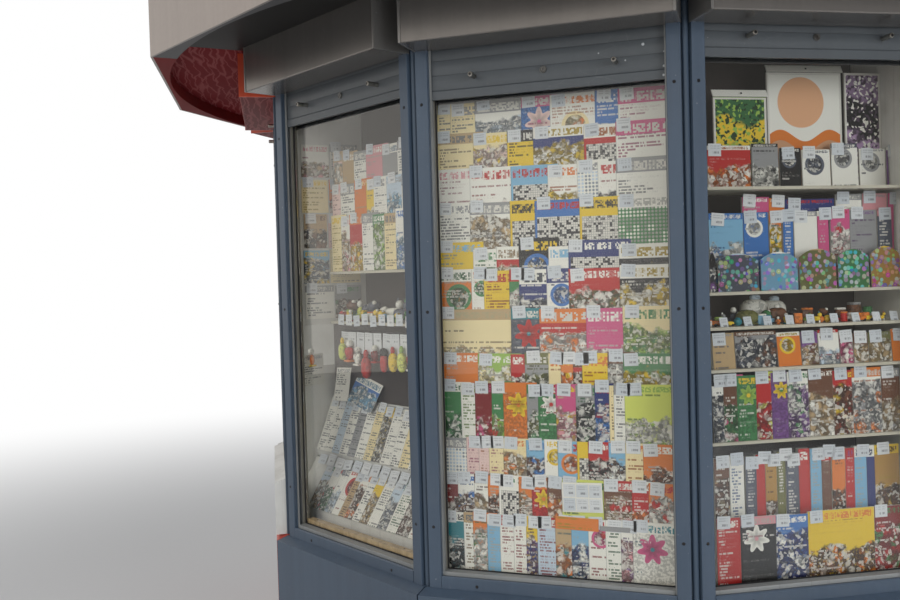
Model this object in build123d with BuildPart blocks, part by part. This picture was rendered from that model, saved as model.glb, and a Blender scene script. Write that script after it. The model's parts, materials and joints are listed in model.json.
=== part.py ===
from build123d import *
from math import cos, floor, radians, tan
import os

os.makedirs("parts", exist_ok=True)

# Twelve-sided street kiosk, in millimetres. Z is up, the ground is Z = 0 and the axis of the
# twelve sides is the Z axis. Facet 0 faces -Y and the facets count anticlockwise from above.
# An apothem is a face's distance from the axis, measured square to its facet.

# Plan
facet_count = 12
turn = 360 / facet_count
half_turn = turn / 2
face_apothem = 1370
base_apothem = 1405
canopy_apothem = 1745
soffit_radius = 1725

# Levels
base_frame_height = 100
base_panel_bottom = 45
frame_bottom = 785
sill_back_top = 808
sill_lip = 819
opening_head = 2257
soffit_level = 2400
canopy_bottom = 2358
fascia_top = 2790
eaves_level = 2690
roof_rise = 198

# Facets by their use
all_facets = range(facet_count)
red_facets = [8, 9, 10]
grey_facets = [0, 1, 2, 3, 4, 5, 6, 7, 11]
door_facet = 3
hatch_facet = 9
window_facets = [k for k in all_facets if k != door_facet]
grey_windows = [k for k in grey_facets if k != door_facet]
news_facets = [4, 7, 11]
magazine_facets = [0, 2, 6]
shelf_facets = [1, 5, 8]
long_facet = 11
open_facet = 10

# How far each roller shutter is let down
curtain_bottoms = {0: 2125, 1: 2176, 2: 2150, 4: 2139, 5: 2163, 6: 2131, 7: 2170, 8: 2145, 9: 2158, 10: 2134,
                   11: 2148}

# Window frames
stile_inner = 317
stile_outer = 353
stile_thickness = 14
post_half_width = 30
post_inner_radius = 1360
jamb_inner = 312
jamb_front = 1355.5
jamb_back = 1312
rail_front = 1338
rail_back = 1282
sill_back = 1320
glass_front = 1326
glass_thickness = 6
top_rail_bottom = 2300

# Roller shutters
slat_pitch = 40
slat_height = 39.4
slat_back = 1342
slat_thickness = 6
slat_crown = 2
slat_half_length = 322
bottom_bar_height = 26
box_back = 1360
box_front = 1479
box_half_length = 348
cap_thickness = 7
lock_height = 54
pin_offset = 190
pin_diameter = 13
pin_length = 38

# Displays behind the glass
back_apothem = 1060
board_thickness = 8
side_inner_radius = 1108
board_top = 2295

joint_gap = 1
seam_gap = 4


def turns(facets, start=0):
    """Rotations about the axis that bring facet 0 to each of these facets."""
    return [Location((0, 0, 0), (0, 0, start + turn * k)) for k in facets]


def half_side(apothem, gap):
    """Half the length of a side at this apothem, less half a gap at its mitre."""
    return apothem * tan(radians(half_turn)) - gap / 2 / cos(radians(half_turn))


def mitred(section, gap):
    """A length of this section along facet 0, cut off at the two mitres. The section's points
    are apothem and height."""
    outer = max(apothem for apothem, level in section)
    top = max(level for apothem, level in section)
    with BuildPart() as length:
        with BuildSketch(Plane.YZ):
            Polygon(*[(-apothem, level) for apothem, level in section], align=None)
        extrude(amount=outer, both=True)
        with BuildSketch(Plane.XY):
            Polygon((-half_side(1, gap), -1), (half_side(1, gap), -1),
                    (half_side(2 * outer, gap), -2 * outer), (-half_side(2 * outer, gap), -2 * outer),
                    align=None)
        extrude(amount=top + 1, mode=Mode.INTERSECT)
    return length.part


def straight(section, half_length):
    """A length of this section along facet 0 with square ends."""
    with BuildPart() as length:
        with BuildSketch(Plane.YZ):
            Polygon(*[(-apothem, level) for apothem, level in section], align=None)
        extrude(amount=half_length, both=True)
    return length.part


def band(inner, outer, bottom, top):
    """The section of a plain rectangular bar."""
    return [(outer, bottom), (outer, top), (inner, top), (inner, bottom)]


def radial(outline, thickness):
    """A plate standing on a radius: the outline's points are radius and height."""
    with BuildPart() as plate:
        with BuildSketch(Plane.XZ):
            Polygon(*outline, align=None)
        extrude(amount=thickness / 2, both=True)
    return plate.part


def save(piece, name):
    """Label a finished piece and write its file."""
    piece.label = name
    export_step(piece, f"parts/{name}.step")


# Steel base frame on the ground
base_member = mitred(band(1298, 1358, 0, base_frame_height), joint_gap)
with BuildPart() as base_frame:
    with Locations(*turns(all_facets)):
        add(base_member)
save(base_frame.part, "base_frame")

# Joists under the floor
floor_thickness = 28
joist_height = base_frame_height - floor_thickness
joist_spacing = 600
with BuildPart() as floor_joists:
    with BuildSketch():
        for place, length in ((-1, 2200), (0, 2580), (1, 2200)):
            with Locations((place * joist_spacing, 0)):
                Rectangle(60, length)
    extrude(amount=joist_height)
save(floor_joists.part, "floor_joists")

# Floor panel inside the base frame
with BuildPart() as floor_panel:
    with BuildSketch(Plane.XY.offset(joist_height)):
        RegularPolygon(1297, facet_count, major_radius=False, rotation=half_turn)
    extrude(amount=floor_thickness)
save(floor_panel.part, "floor_panel")

# Insulated panels of the base, each with a weathered top that falls outwards
panel_section = [(base_apothem, base_panel_bottom), (base_apothem, 772), (face_apothem, frame_bottom - 0.5),
                 (1360, frame_bottom - 0.5), (1360, base_panel_bottom)]
base_panel = mitred(panel_section, seam_gap)
for finish, facets in (("grey", grey_windows), ("red", red_facets)):
    with BuildPart() as base_panels:
        with Locations(*turns(facets)):
            add(base_panel)
    save(base_panels.part, f"base_panels_{finish}")

# Posts at the corners, with a nose that fills the joint between two frames
corner_radius = face_apothem / cos(radians(half_turn))
nose_radius = corner_radius - 18
nose_half_width = 8.5
with BuildPart() as corner_posts:
    with BuildSketch(Plane.XY.offset(base_frame_height)):
        with Locations(*turns(all_facets, half_turn)):
            Polygon((nose_radius, -nose_half_width), (nose_radius, nose_half_width),
                    (nose_radius - 6, post_half_width),
                    (post_inner_radius, post_half_width), (post_inner_radius, -post_half_width),
                    (nose_radius - 6, -post_half_width), align=None)
    extrude(amount=soffit_level - base_frame_height)
save(corner_posts.part, "corner_posts")

# Rounded cover beads on the noses of the posts
with BuildPart() as bead:
    with BuildSketch(Plane.XY.offset(frame_bottom)):
        with BuildLine():
            Line((nose_radius, -nose_half_width), (nose_radius, nose_half_width))
            ThreePointArc((nose_radius, nose_half_width), (nose_radius + nose_half_width, 0),
                          (nose_radius, -nose_half_width))
        make_face()
    extrude(amount=soffit_level - frame_bottom)
with BuildPart() as corner_beads:
    with Locations(*turns(all_facets, half_turn)):
        add(bead.part)
save(corner_beads.part, "corner_beads")

# Rails between the posts: one under each sill, one over each window
rail_half_length = 316.5
rail_height = 60
sill_rail = straight(band(1262, 1355, frame_bottom - rail_height, frame_bottom), rail_half_length)
top_rail = straight(band(rail_back, rail_front, top_rail_bottom, soffit_level), jamb_inner + 1)
with BuildPart() as cross_rails:
    with Locations(*turns(window_facets)):
        add(sill_rail)
    with Locations(*turns(all_facets)):
        add(top_rail)
save(cross_rails.part, "cross_rails")

# Stiles of the window frames
stile_width = stile_outer - stile_inner
with BuildPart() as stile_pair:
    with BuildSketch(Plane.XY.offset(frame_bottom)):
        with Locations((-stile_inner - stile_width / 2, stile_thickness / 2 - face_apothem),
                       (stile_inner + stile_width / 2, stile_thickness / 2 - face_apothem)):
            Rectangle(stile_width, stile_thickness)
    extrude(amount=opening_head - frame_bottom)
    fillet(stile_pair.edges().filter_by(Axis.Z).group_by(Axis.Y)[0], radius=2.5)
for finish, facets in (("grey", grey_windows), ("red", red_facets)):
    with BuildPart() as frame_stiles:
        with Locations(*turns(facets)):
            add(stile_pair.part)
    save(frame_stiles.part, f"frame_stiles_{finish}")

# Sills, from the front of the frame back to the glass
sill = straight([(face_apothem, frame_bottom), (face_apothem, sill_lip - 3), (face_apothem - 3, sill_lip),
                 (sill_back, sill_back_top), (sill_back, frame_bottom)], stile_inner - 0.5)
for finish, facets in (("grey", grey_windows), ("red", red_facets)):
    with BuildPart() as frame_sills:
        with Locations(*turns(facets)):
            add(sill)
    save(frame_sills.part, f"frame_sills_{finish}")

# Inner window frames: a jamb and a front lip with the shutter's guide slot between them, and a low rail
slot_front = 1351.5
slot_back = 1340.5
low_rail_back = 1327
low_rail_top = 828
low_rail_front = 1356
jamb_width_inside = 8
jamb_width_at_slot = 15
lip_width = 18
with BuildPart() as window_jambs:
    with BuildSketch(Plane.XY.offset(sill_lip - 2)):
        with Locations(*turns(window_facets)):
            for side in (-1, 1):
                Polygon((side * jamb_inner, -jamb_back),
                        (side * (jamb_inner + jamb_width_inside), -jamb_back),
                        (side * (jamb_inner + jamb_width_at_slot), -slot_back),
                        (side * jamb_inner, -slot_back), align=None)
                Polygon((side * jamb_inner, -slot_front), (side * (jamb_inner + lip_width), -slot_front),
                        (side * (jamb_inner + lip_width), -jamb_front), (side * jamb_inner, -jamb_front),
                        align=None)
    extrude(amount=top_rail_bottom - sill_lip + 2)
    low_rail = straight([(low_rail_front, sill_lip - 2), (low_rail_front, low_rail_top),
                         (low_rail_back, low_rail_top), (low_rail_back, sill_back_top + 2)],
                        jamb_inner - 0.5)
    with Locations(*turns(window_facets)):
        add(low_rail)
save(window_jambs.part, "window_jambs")

# Glass: one pane a window, and three round the serving hatch
pane_half_width = jamb_inner - 0.5
transom_bottom = 1240
transom_top = 1262
transom_half_width = 308
mullion_half_width = 8
glass_middle = glass_front - glass_thickness / 2
glass_bottom = sill_back_top + 2
with BuildPart() as glass_panes:
    with BuildSketch(Plane.XY.offset(glass_bottom)):
        with Locations(*turns([k for k in window_facets if k != hatch_facet])):
            with Locations((0, -glass_middle)):
                Rectangle(2 * pane_half_width, glass_thickness)
    extrude(amount=top_rail_bottom - glass_bottom)
    with BuildSketch(Plane.XY.offset(transom_top)):
        with Locations(*turns([hatch_facet])):
            with Locations((0, -glass_middle)):
                Rectangle(2 * pane_half_width, glass_thickness)
    extrude(amount=top_rail_bottom - transom_top)
    leaf_width = pane_half_width - mullion_half_width - 0.5
    with BuildSketch(Plane.XY.offset(glass_bottom)):
        with Locations(*turns([hatch_facet])):
            with Locations((-mullion_half_width - 0.5 - leaf_width / 2, -glass_middle),
                           (mullion_half_width + 0.5 + leaf_width / 2, -glass_middle)):
                Rectangle(leaf_width, glass_thickness)
    extrude(amount=transom_bottom - glass_bottom - 0.5)
save(glass_panes.part, "glass_panes")

# Transom and mullion of the serving hatch
bar_depth = 24
with BuildPart() as hatch_bars:
    with BuildSketch(Plane.XY.offset(transom_bottom)):
        with Locations(*turns([hatch_facet])):
            with Locations((0, -glass_middle)):
                Rectangle(2 * transom_half_width, bar_depth)
    extrude(amount=transom_top - transom_bottom - 0.5)
    with BuildSketch(Plane.XY.offset(low_rail_top + 0.5)):
        with Locations(*turns([hatch_facet])):
            with Locations((0, -glass_middle)):
                Rectangle(2 * mullion_half_width, bar_depth)
    extrude(amount=transom_bottom - low_rail_top - 1)
save(hatch_bars.part, "hatch_bars")

# Dark gaskets in front of the glass
gasket_width = 3
gasket_depth = 5
gasket_middle = glass_front + gasket_depth / 2
with BuildPart() as glazing_gaskets:
    with BuildSketch(Plane.XY.offset(low_rail_top + 0.5)):
        with Locations(*turns(window_facets)):
            with Locations((-pane_half_width + gasket_width / 2, -gasket_middle),
                           (pane_half_width - gasket_width / 2, -gasket_middle)):
                Rectangle(gasket_width, gasket_depth)
    extrude(amount=top_rail_bottom - low_rail_top - 0.5)
    with BuildSketch(Plane.XY.offset(low_rail_top)):
        with Locations(*turns([k for k in window_facets if k != hatch_facet])):
            with Locations((0, -gasket_middle - 0.5)):
                Rectangle(2 * (pane_half_width - gasket_width) - 1, gasket_depth - 1)
    extrude(amount=gasket_width)
save(glazing_gaskets.part, "glazing_gaskets")

# Wooden battens behind the foot of the glass, taller where newspapers lie behind them
batten_front = glass_front - glass_thickness - 0.5
batten_depth = 24
tall_batten_top = 843
low_batten_top = 818
other_windows = [k for k in window_facets if k not in news_facets]
with BuildPart() as window_battens:
    for facets, batten_top in ((news_facets, tall_batten_top), (other_windows, low_batten_top)):
        with BuildSketch(Plane.XY.offset(frame_bottom)):
            with Locations(*turns([k for k in facets if k != hatch_facet])):
                with Locations((0, -batten_front + batten_depth / 2)):
                    Rectangle(2 * pane_half_width, batten_depth)
        extrude(amount=batten_top - frame_bottom)
save(window_battens.part, "window_battens")

# Dark pelmets behind the heads of the windows, a little lower than each shutter hangs
pelmet_middle = 1315
pelmet_thickness = 4
pelmet_drop = 7
with BuildPart() as pelmet_boards:
    for k in window_facets:
        pelmet_bottom = curtain_bottoms[k] - pelmet_drop
        with BuildSketch(Plane.XY.offset(pelmet_bottom)):
            with Locations(*turns([k])):
                with Locations((0, -pelmet_middle)):
                    Rectangle(2 * pane_half_width - 2, pelmet_thickness)
        extrude(amount=top_rail_bottom - pelmet_bottom)
save(pelmet_boards.part, "pelmet_boards")

# Shutter boxes under the canopy
with BuildPart() as shutter_box:
    with BuildSketch(Plane.YZ):
        box_section = band(box_back, box_front, opening_head, soffit_level)
        Polygon(*[(-apothem, level) for apothem, level in box_section], align=None)
    extrude(amount=box_half_length, both=True)
    fillet(shutter_box.edges().filter_by(Axis.X).group_by(Axis.Z)[0].sort_by(Axis.Y)[0], radius=4)
for finish, facets in (("grey", grey_windows), ("red", red_facets)):
    with BuildPart() as shutter_boxes:
        with Locations(*turns(facets)):
            add(shutter_box.part)
    save(shutter_boxes.part, f"shutter_boxes_{finish}")

# End caps of the shutter boxes
with BuildPart() as cap_pair:
    for side in (-1, 1):
        with BuildSketch(Plane.YZ.offset(side * (box_half_length + cap_thickness / 2))):
            with Locations((-(box_back + box_front + 2) / 2, (opening_head + soffit_level) / 2)):
                Rectangle(box_front + 2 - box_back, soffit_level - opening_head)
        extrude(amount=cap_thickness / 2, both=True)
for finish, facets in (("grey", grey_windows), ("red", red_facets)):
    with BuildPart() as end_caps:
        with Locations(*turns(facets)):
            add(cap_pair.part)
    save(end_caps.part, f"shutter_end_caps_{finish}")

# Roller shutters: a bottom bar and as many slats as hang out of the box
with BuildPart() as slat:
    with BuildSketch(Plane.YZ):
        with BuildLine():
            Polyline((-slat_back - slat_thickness, 0), (-slat_back, 0), (-slat_back, slat_height),
                     (-slat_back - slat_thickness, slat_height))
            ThreePointArc((-slat_back - slat_thickness, slat_height),
                          (-slat_back - slat_thickness - slat_crown, slat_height / 2),
                          (-slat_back - slat_thickness, 0))
        make_face()
    extrude(amount=slat_half_length, both=True)
with BuildPart() as bottom_bar:
    with BuildSketch(Plane.YZ):
        Polygon((-slat_back - 9, 0), (-slat_back + 1, 0), (-slat_back + 1, bottom_bar_height - 0.6),
                (-slat_back - 7, bottom_bar_height - 0.6), (-slat_back - 9, bottom_bar_height - 4),
                align=None)
    extrude(amount=slat_half_length, both=True)
for finish, facets in (("grey", grey_windows), ("red", red_facets)):
    with BuildPart() as shutter_slats:
        for k in facets:
            first = curtain_bottoms[k] + bottom_bar_height
            slats_out = floor((opening_head - first) / slat_pitch) + 1
            with Locations(*turns([k])):
                with Locations((0, 0, curtain_bottoms[k])):
                    add(bottom_bar.part)
                with Locations(*[(0, 0, first + slat_pitch * n) for n in range(slats_out)]):
                    add(slat.part)
    save(shutter_slats.part, f"shutter_slats_{finish}")

# Two locking pins and a lock rosette on each shutter
slat_face = slat_back + slat_thickness + slat_crown
with BuildPart() as lock_set:
    with BuildSketch(Plane.XZ.offset(slat_face)):
        with Locations((-pin_offset, 0), (pin_offset, 0)):
            Circle(pin_diameter / 2)
    extrude(amount=pin_length)
    chamfer(lock_set.edges().filter_by(GeomType.CIRCLE).group_by(Axis.Y)[0], length=1.5)
    with BuildSketch(Plane.XZ.offset(slat_face)):
        Circle(9)
    extrude(amount=3)
with BuildPart() as shutter_locks:
    for k in window_facets:
        with Locations(*turns([k])):
            with Locations((0, 0, curtain_bottoms[k] + lock_height)):
                add(lock_set.part)
save(shutter_locks.part, "shutter_locks")

# Soffit: a round recessed ceiling under the canopy, one plate a facet
soffit_thickness = 12
with BuildPart() as soffit_plate:
    with BuildSketch(Plane.XY.offset(soffit_level)):
        Polygon((-half_side(1300, joint_gap), -1300), (half_side(1300, joint_gap), -1300),
                (half_side(2000, joint_gap), -2000), (-half_side(2000, joint_gap), -2000), align=None)
        Circle(soffit_radius + 6, mode=Mode.INTERSECT)
    extrude(amount=soffit_thickness)
for finish, facets in (("grey", grey_facets), ("red", red_facets)):
    with BuildPart() as soffit:
        with Locations(*turns(facets)):
            add(soffit_plate.part)
    save(soffit.part, f"soffit_{finish}")

# Rim between the round soffit and the flat fascias
fascia_thickness = 8
rim_apothem = canopy_apothem - fascia_thickness
with BuildPart() as rim_piece:
    with BuildSketch(Plane.XY.offset(canopy_bottom)):
        Polygon((-half_side(1500, joint_gap), -1500), (half_side(1500, joint_gap), -1500),
                (half_side(rim_apothem, joint_gap), -rim_apothem),
                (-half_side(rim_apothem, joint_gap), -rim_apothem), align=None)
        Circle(soffit_radius, mode=Mode.SUBTRACT)
    extrude(amount=soffit_level - canopy_bottom)
for finish, facets in (("grey", grey_facets), ("red", red_facets)):
    with BuildPart() as canopy_rim:
        with Locations(*turns(facets)):
            add(rim_piece.part)
    save(canopy_rim.part, f"canopy_rim_{finish}")

# Fascia panels and the caps on them
fascia = mitred(band(rim_apothem, canopy_apothem, canopy_bottom, fascia_top), joint_gap)
with BuildPart() as fascia_panels:
    with Locations(*turns(all_facets)):
        add(fascia)
save(fascia_panels.part, "fascia_panels")

cap = mitred(band(rim_apothem - 3, canopy_apothem + 3, fascia_top, fascia_top + 4), joint_gap)
with BuildPart() as fascia_caps:
    with Locations(*turns(all_facets)):
        add(cap)
save(fascia_caps.part, "fascia_caps")

# Ribs that carry the soffit and the roof, one over each corner post
roof_inner = 240
roof_thickness = 20
roof_slope = roof_rise / (rim_apothem - roof_inner)
hip_cos = cos(radians(half_turn))
rib_outer = rim_apothem / hip_cos - 4
rib_inner = 130
rib_bottom = soffit_level + soffit_thickness


def hip_level(radius):
    """Height of the roof's underside on a hip, at this radius."""
    return eaves_level + (rim_apothem - radius * hip_cos) * roof_slope


rib = radial([(rib_inner, rib_bottom), (rib_outer, rib_bottom), (rib_outer, hip_level(rib_outer) - 0.5),
              (rib_inner, hip_level(rib_inner) - 0.5)], 12)
with BuildPart() as roof_ribs:
    with Locations(*turns(all_facets, half_turn)):
        add(rib)
save(roof_ribs.part, "roof_ribs")

# Low hipped roof behind the fascia
roof_panel = mitred([(rim_apothem - 1, eaves_level), (rim_apothem - 1, eaves_level + roof_thickness),
                     (roof_inner, eaves_level + roof_rise + roof_thickness),
                     (roof_inner, eaves_level + roof_rise)], joint_gap)
with BuildPart() as roof_panels:
    with Locations(*turns(all_facets)):
        add(roof_panel)
save(roof_panels.part, "roof_panels")

# Cover strips on the hips
strip_outer = rib_outer - 30
strip_inner = 290
with BuildPart() as strip:
    with BuildSketch(Plane.XZ):
        Polygon((strip_inner, hip_level(strip_inner) + roof_thickness),
                (strip_outer, hip_level(strip_outer) + roof_thickness),
                (strip_outer, hip_level(strip_outer) + roof_thickness + 12),
                (strip_inner, hip_level(strip_inner) + roof_thickness + 12), align=None)
    extrude(amount=14, both=True)
with BuildPart() as roof_hips:
    with Locations(*turns(all_facets, half_turn)):
        add(strip.part)
save(roof_hips.part, "roof_hips")

# Cap over the middle of the roof
with BuildPart() as roof_cap:
    with BuildSketch(Plane.XY.offset(eaves_level + roof_rise + roof_thickness)):
        RegularPolygon(265, facet_count, major_radius=False, rotation=half_turn)
    extrude(amount=30)
    chamfer(roof_cap.faces().sort_by(Axis.Z)[-1].edges(), length=12)
save(roof_cap.part, "roof_cap")

# Ceiling inside
with BuildPart() as ceiling_panel:
    with BuildSketch(Plane.XY.offset(soffit_level - 15)):
        RegularPolygon(rail_back - 2, facet_count, major_radius=False, rotation=half_turn)
    extrude(amount=15)
save(ceiling_panel.part, "ceiling_panel")

# Door in its facet, opposite the serving hatch
door_half_width = 300
door_bottom = 116
door_top = 2105
door_back = 1328
door_thickness = 38
door_face = door_back + door_thickness
with BuildPart() as door_leaf:
    with BuildSketch(Plane.XZ.offset(door_back)):
        with Locations((0, (door_bottom + door_top) / 2)):
            Rectangle(2 * door_half_width, door_top - door_bottom)
    extrude(amount=door_thickness)
    with BuildSketch(Plane.XZ.offset(door_face)):
        with Locations((0, 560), (0, 1560)):
            Rectangle(440, 700)
    extrude(amount=-4, mode=Mode.SUBTRACT)
with BuildPart() as door_turned:
    with Locations(*turns([door_facet])):
        add(door_leaf.part)
save(door_turned.part, "door_leaf")

# Frame of the door: stiles, head panel and threshold
frame_inner = door_half_width + 3
frame_stile_width = stile_outer - frame_inner
threshold_depth = 64
with BuildPart() as door_surround:
    with BuildSketch(Plane.XY.offset(base_frame_height)):
        with Locations((-frame_inner - frame_stile_width / 2, stile_thickness / 2 - face_apothem),
                       (frame_inner + frame_stile_width / 2, stile_thickness / 2 - face_apothem)):
            Rectangle(frame_stile_width, stile_thickness)
    extrude(amount=soffit_level - base_frame_height)
    with BuildSketch(Plane.XY.offset(door_top + 4)):
        with Locations((0, stile_thickness / 2 - face_apothem)):
            Rectangle(2 * frame_inner - 1, stile_thickness)
    extrude(amount=soffit_level - door_top - 4)
    with BuildSketch(Plane.XY.offset(base_panel_bottom)):
        with Locations((0, -face_apothem + 10 - threshold_depth / 2)):
            Rectangle(2 * stile_outer - 6, threshold_depth)
    extrude(amount=base_frame_height - base_panel_bottom - 0.5)
with BuildPart() as door_frame:
    with Locations(*turns([door_facet])):
        add(door_surround.part)
save(door_frame.part, "door_frame")

# Hinges and handle of the door
hinge_levels = (330, 1110, 1890)
with BuildPart() as hinge:
    with BuildSketch(Plane.XY):
        with Locations((-303, -face_apothem - 7)):
            Circle(7)
    extrude(amount=45, both=True)
with BuildPart() as door_hinges:
    with Locations(*turns([door_facet])):
        with Locations(*[(0, 0, level) for level in hinge_levels]):
            add(hinge.part)
save(door_hinges.part, "door_hinges")

handle_level = 1050
handle_place = 262
rosette_thickness = 6
lever_radius = 9
lever_reach = 36
lever_end = 150
with BuildPart() as handle:
    with BuildSketch(Plane.XZ.offset(door_face)):
        with Locations((handle_place, handle_level)):
            RectangleRounded(34, 180, 8)
    extrude(amount=rosette_thickness)
    with BuildSketch(Plane.XZ.offset(door_face + rosette_thickness)):
        with Locations((handle_place, handle_level + 40)):
            Circle(lever_radius)
    extrude(amount=lever_reach)
    with BuildSketch(Plane.YZ.offset(lever_end)):
        with Locations((-door_face - lever_reach, handle_level + 40)):
            Circle(lever_radius)
    extrude(amount=handle_place - lever_end)
with BuildPart() as door_handle:
    with Locations(*turns([door_facet])):
        add(handle.part)
save(door_handle.part, "door_handle")

# White ledge boxes under the windows of the serving side
ledge_box_depth = 36
ledge_box_top = 974
ledge_box = straight([(face_apothem, frame_bottom), (face_apothem + ledge_box_depth, frame_bottom),
                      (face_apothem + ledge_box_depth, ledge_box_top - 12), (face_apothem, ledge_box_top)],
                     350)
with BuildPart() as ledge_boxes:
    with Locations(*turns(red_facets)):
        add(ledge_box)
save(ledge_boxes.part, "ledge_boxes")

# White side boards between the display bays, on the corner radii. Corner 0 is the first one after +X. At the
# open corner the board is only above the long newspaper rack
side_bottom = frame_bottom - rail_height
high_side_bottom = 1490
open_corner = open_facet - 3
side_board = radial([(side_inner_radius, side_bottom), (post_inner_radius, side_bottom),
                     (post_inner_radius, board_top), (side_inner_radius, board_top)], board_thickness)
high_side_board = radial([(side_inner_radius, high_side_bottom), (post_inner_radius, high_side_bottom),
                          (post_inner_radius, board_top), (side_inner_radius, board_top)], board_thickness)
with BuildPart() as display_sides:
    with Locations(*turns([k for k in all_facets if k != open_corner], half_turn)):
        add(side_board)
    with Locations(*turns([open_corner], half_turn)):
        add(high_side_board)
save(display_sides.part, "display_sides")

# Boards behind the goods, standing on the decks
display_facets = news_facets + magazine_facets + shelf_facets
deck_top = frame_bottom + 12
back_board = mitred(band(back_apothem, back_apothem + board_thickness, deck_top, board_top), 2 * seam_gap)
long_end = -498
with BuildPart() as long_back:
    with BuildSketch(Plane.XY.offset(deck_top)):
        Polygon((long_end, -back_apothem), (half_side(back_apothem, 2 * seam_gap), -back_apothem),
                (half_side(back_apothem + board_thickness, 2 * seam_gap), -back_apothem - board_thickness),
                (long_end, -back_apothem - board_thickness), align=None)
    extrude(amount=board_top - deck_top)
with BuildPart() as display_backs:
    with Locations(*turns([k for k in display_facets if k != long_facet])):
        add(back_board)
    with Locations(*turns([long_facet])):
        add(long_back.part)
save(display_backs.part, "display_backs")

# Board at the left end of the long newspaper rack, square to its window
end_board_top = 1330
end_board_back = back_apothem + board_thickness + 0.5
end_board_front = 1224
end_board_foot = 1180
end_board_step = 822
with BuildPart() as end_board:
    with BuildSketch(Plane.YZ.offset(long_end - board_thickness)):
        Polygon((-end_board_back, deck_top + 0.5), (-end_board_foot, deck_top + 0.5),
                (-end_board_foot, end_board_step), (-end_board_front, end_board_step),
                (-end_board_front, end_board_top), (-end_board_back, end_board_top), align=None)
    extrude(amount=board_thickness)
with BuildPart() as display_end:
    with Locations(*turns([long_facet])):
        add(end_board.part)
save(display_end.part, "display_end")

# Shelves: bottom boards in every bay, and the shelves of each kind of bay
inner_edge = back_apothem + board_thickness + 0.5
deck = mitred(band(back_apothem, rail_back - 1, frame_bottom, deck_top), 2 * board_thickness)
shelf_levels = (1178, 1370, 1482, 1574, 1850)
shelf_front = 1270
toy_levels = (1492, 1660)
toy_shelf_front = 1200
with BuildPart() as display_shelves:
    with Locations(*turns(display_facets + [open_facet])):
        add(deck)
    for level in shelf_levels:
        with Locations(*turns(shelf_facets)):
            add(mitred(band(inner_edge, shelf_front, level, level + board_thickness), 2 * board_thickness))
    for level in toy_levels:
        toy_shelf = mitred(band(inner_edge, toy_shelf_front, level, level + board_thickness),
                           2 * board_thickness)
        with Locations(*turns(news_facets)):
            add(toy_shelf)
save(display_shelves.part, "display_shelves")

# Leaning board for magazines, with a ledge under each row
rack_foot = 1296
rack_top = 2200
rack_fall = 0.036
row_count = 13
row_pitch = 100
second_row = 950
rack_bottom = 819
first_row = rack_bottom + 3
ledge_depth = 9
rack_half_length = 322


def rack_face(level):
    """Apothem of the front of the leaning board at this height."""
    return rack_foot - (level - rack_bottom) * rack_fall


magazine_board = straight([(rack_face(rack_bottom), rack_bottom), (rack_face(rack_top), rack_top),
                           (rack_face(rack_top) - board_thickness, rack_top),
                           (rack_face(rack_bottom) - board_thickness, rack_bottom)], rack_half_length)
rack_foot_board = straight(band(rack_foot - 28, rack_foot - 3, deck_top, rack_bottom - 0.5),
                           rack_half_length)
with BuildPart() as magazine_racks:
    with Locations(*turns(magazine_facets)):
        add(magazine_board)
        add(rack_foot_board)
    for level in [first_row] + [second_row + row_pitch * n for n in range(row_count - 1)]:
        ledge_back = rack_face(level) + 0.5
        ledge = straight(band(ledge_back, ledge_back + ledge_depth, level - 3, level), rack_half_length)
        with Locations(*turns(magazine_facets)):
            add(ledge)
save(magazine_racks.part, "magazine_racks")

# Newspaper racks: a front board and two tiers that lean back. In the long facet they run on to the left,
# behind the neighbouring window, and are cut off just inside its glass
lower_half_length = 298
upper_half_length = 278
news_sections = [
    ([(1258, deck_top + 0.5), (1258, 856), (1252, 856), (1252, deck_top + 0.5)], lower_half_length),
    ([(1258, 857), (1158, 1005), (1152, 1001), (1252, 857)], lower_half_length),
    ([(1158, 1024), (1158, 1030), (1146, 1030), (1146, 1007), (1152, 1007)], lower_half_length),
    ([(1158, 1031), (1080, 1215), (1074, 1213), (1152, 1031)], upper_half_length),
]
glass_clearance = 1292


def long_length(section, right_end):
    """A length of this section in the long facet, up to its end board and the next window's glass."""
    with BuildPart() as length:
        with BuildSketch(Plane.YZ.offset(long_end + 0.5)):
            Polygon(*[(-apothem, level) for apothem, level in section], align=None)
        extrude(amount=right_end - long_end - 0.5)
        with Locations(*turns([-1])):
            Box(4 * canopy_apothem, 2 * glass_clearance, 2 * fascia_top, mode=Mode.INTERSECT)
    return length.part


with BuildPart() as news_racks:
    for section, half_length in news_sections:
        with Locations(*turns([k for k in news_facets if k != long_facet])):
            add(straight(section, half_length))
        with Locations(*turns([long_facet])):
            add(long_length(section, half_length))
save(news_racks.part, "news_racks")

# Rails for hanging goods under the toy shelves
hanging_half_length = 290
hanging_level = 1466
hanging_apothem = 1160
with BuildPart() as rail:
    with BuildSketch(Plane.YZ):
        with Locations((-hanging_apothem, hanging_level)):
            Circle(5)
    extrude(amount=hanging_half_length, both=True)
with BuildPart() as hanging_rails:
    with Locations(*turns(news_facets)):
        add(rail.part)
save(hanging_rails.part, "hanging_rails")
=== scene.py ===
import json
import math

import bpy
import numpy as np
from mathutils import Matrix, Vector


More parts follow.
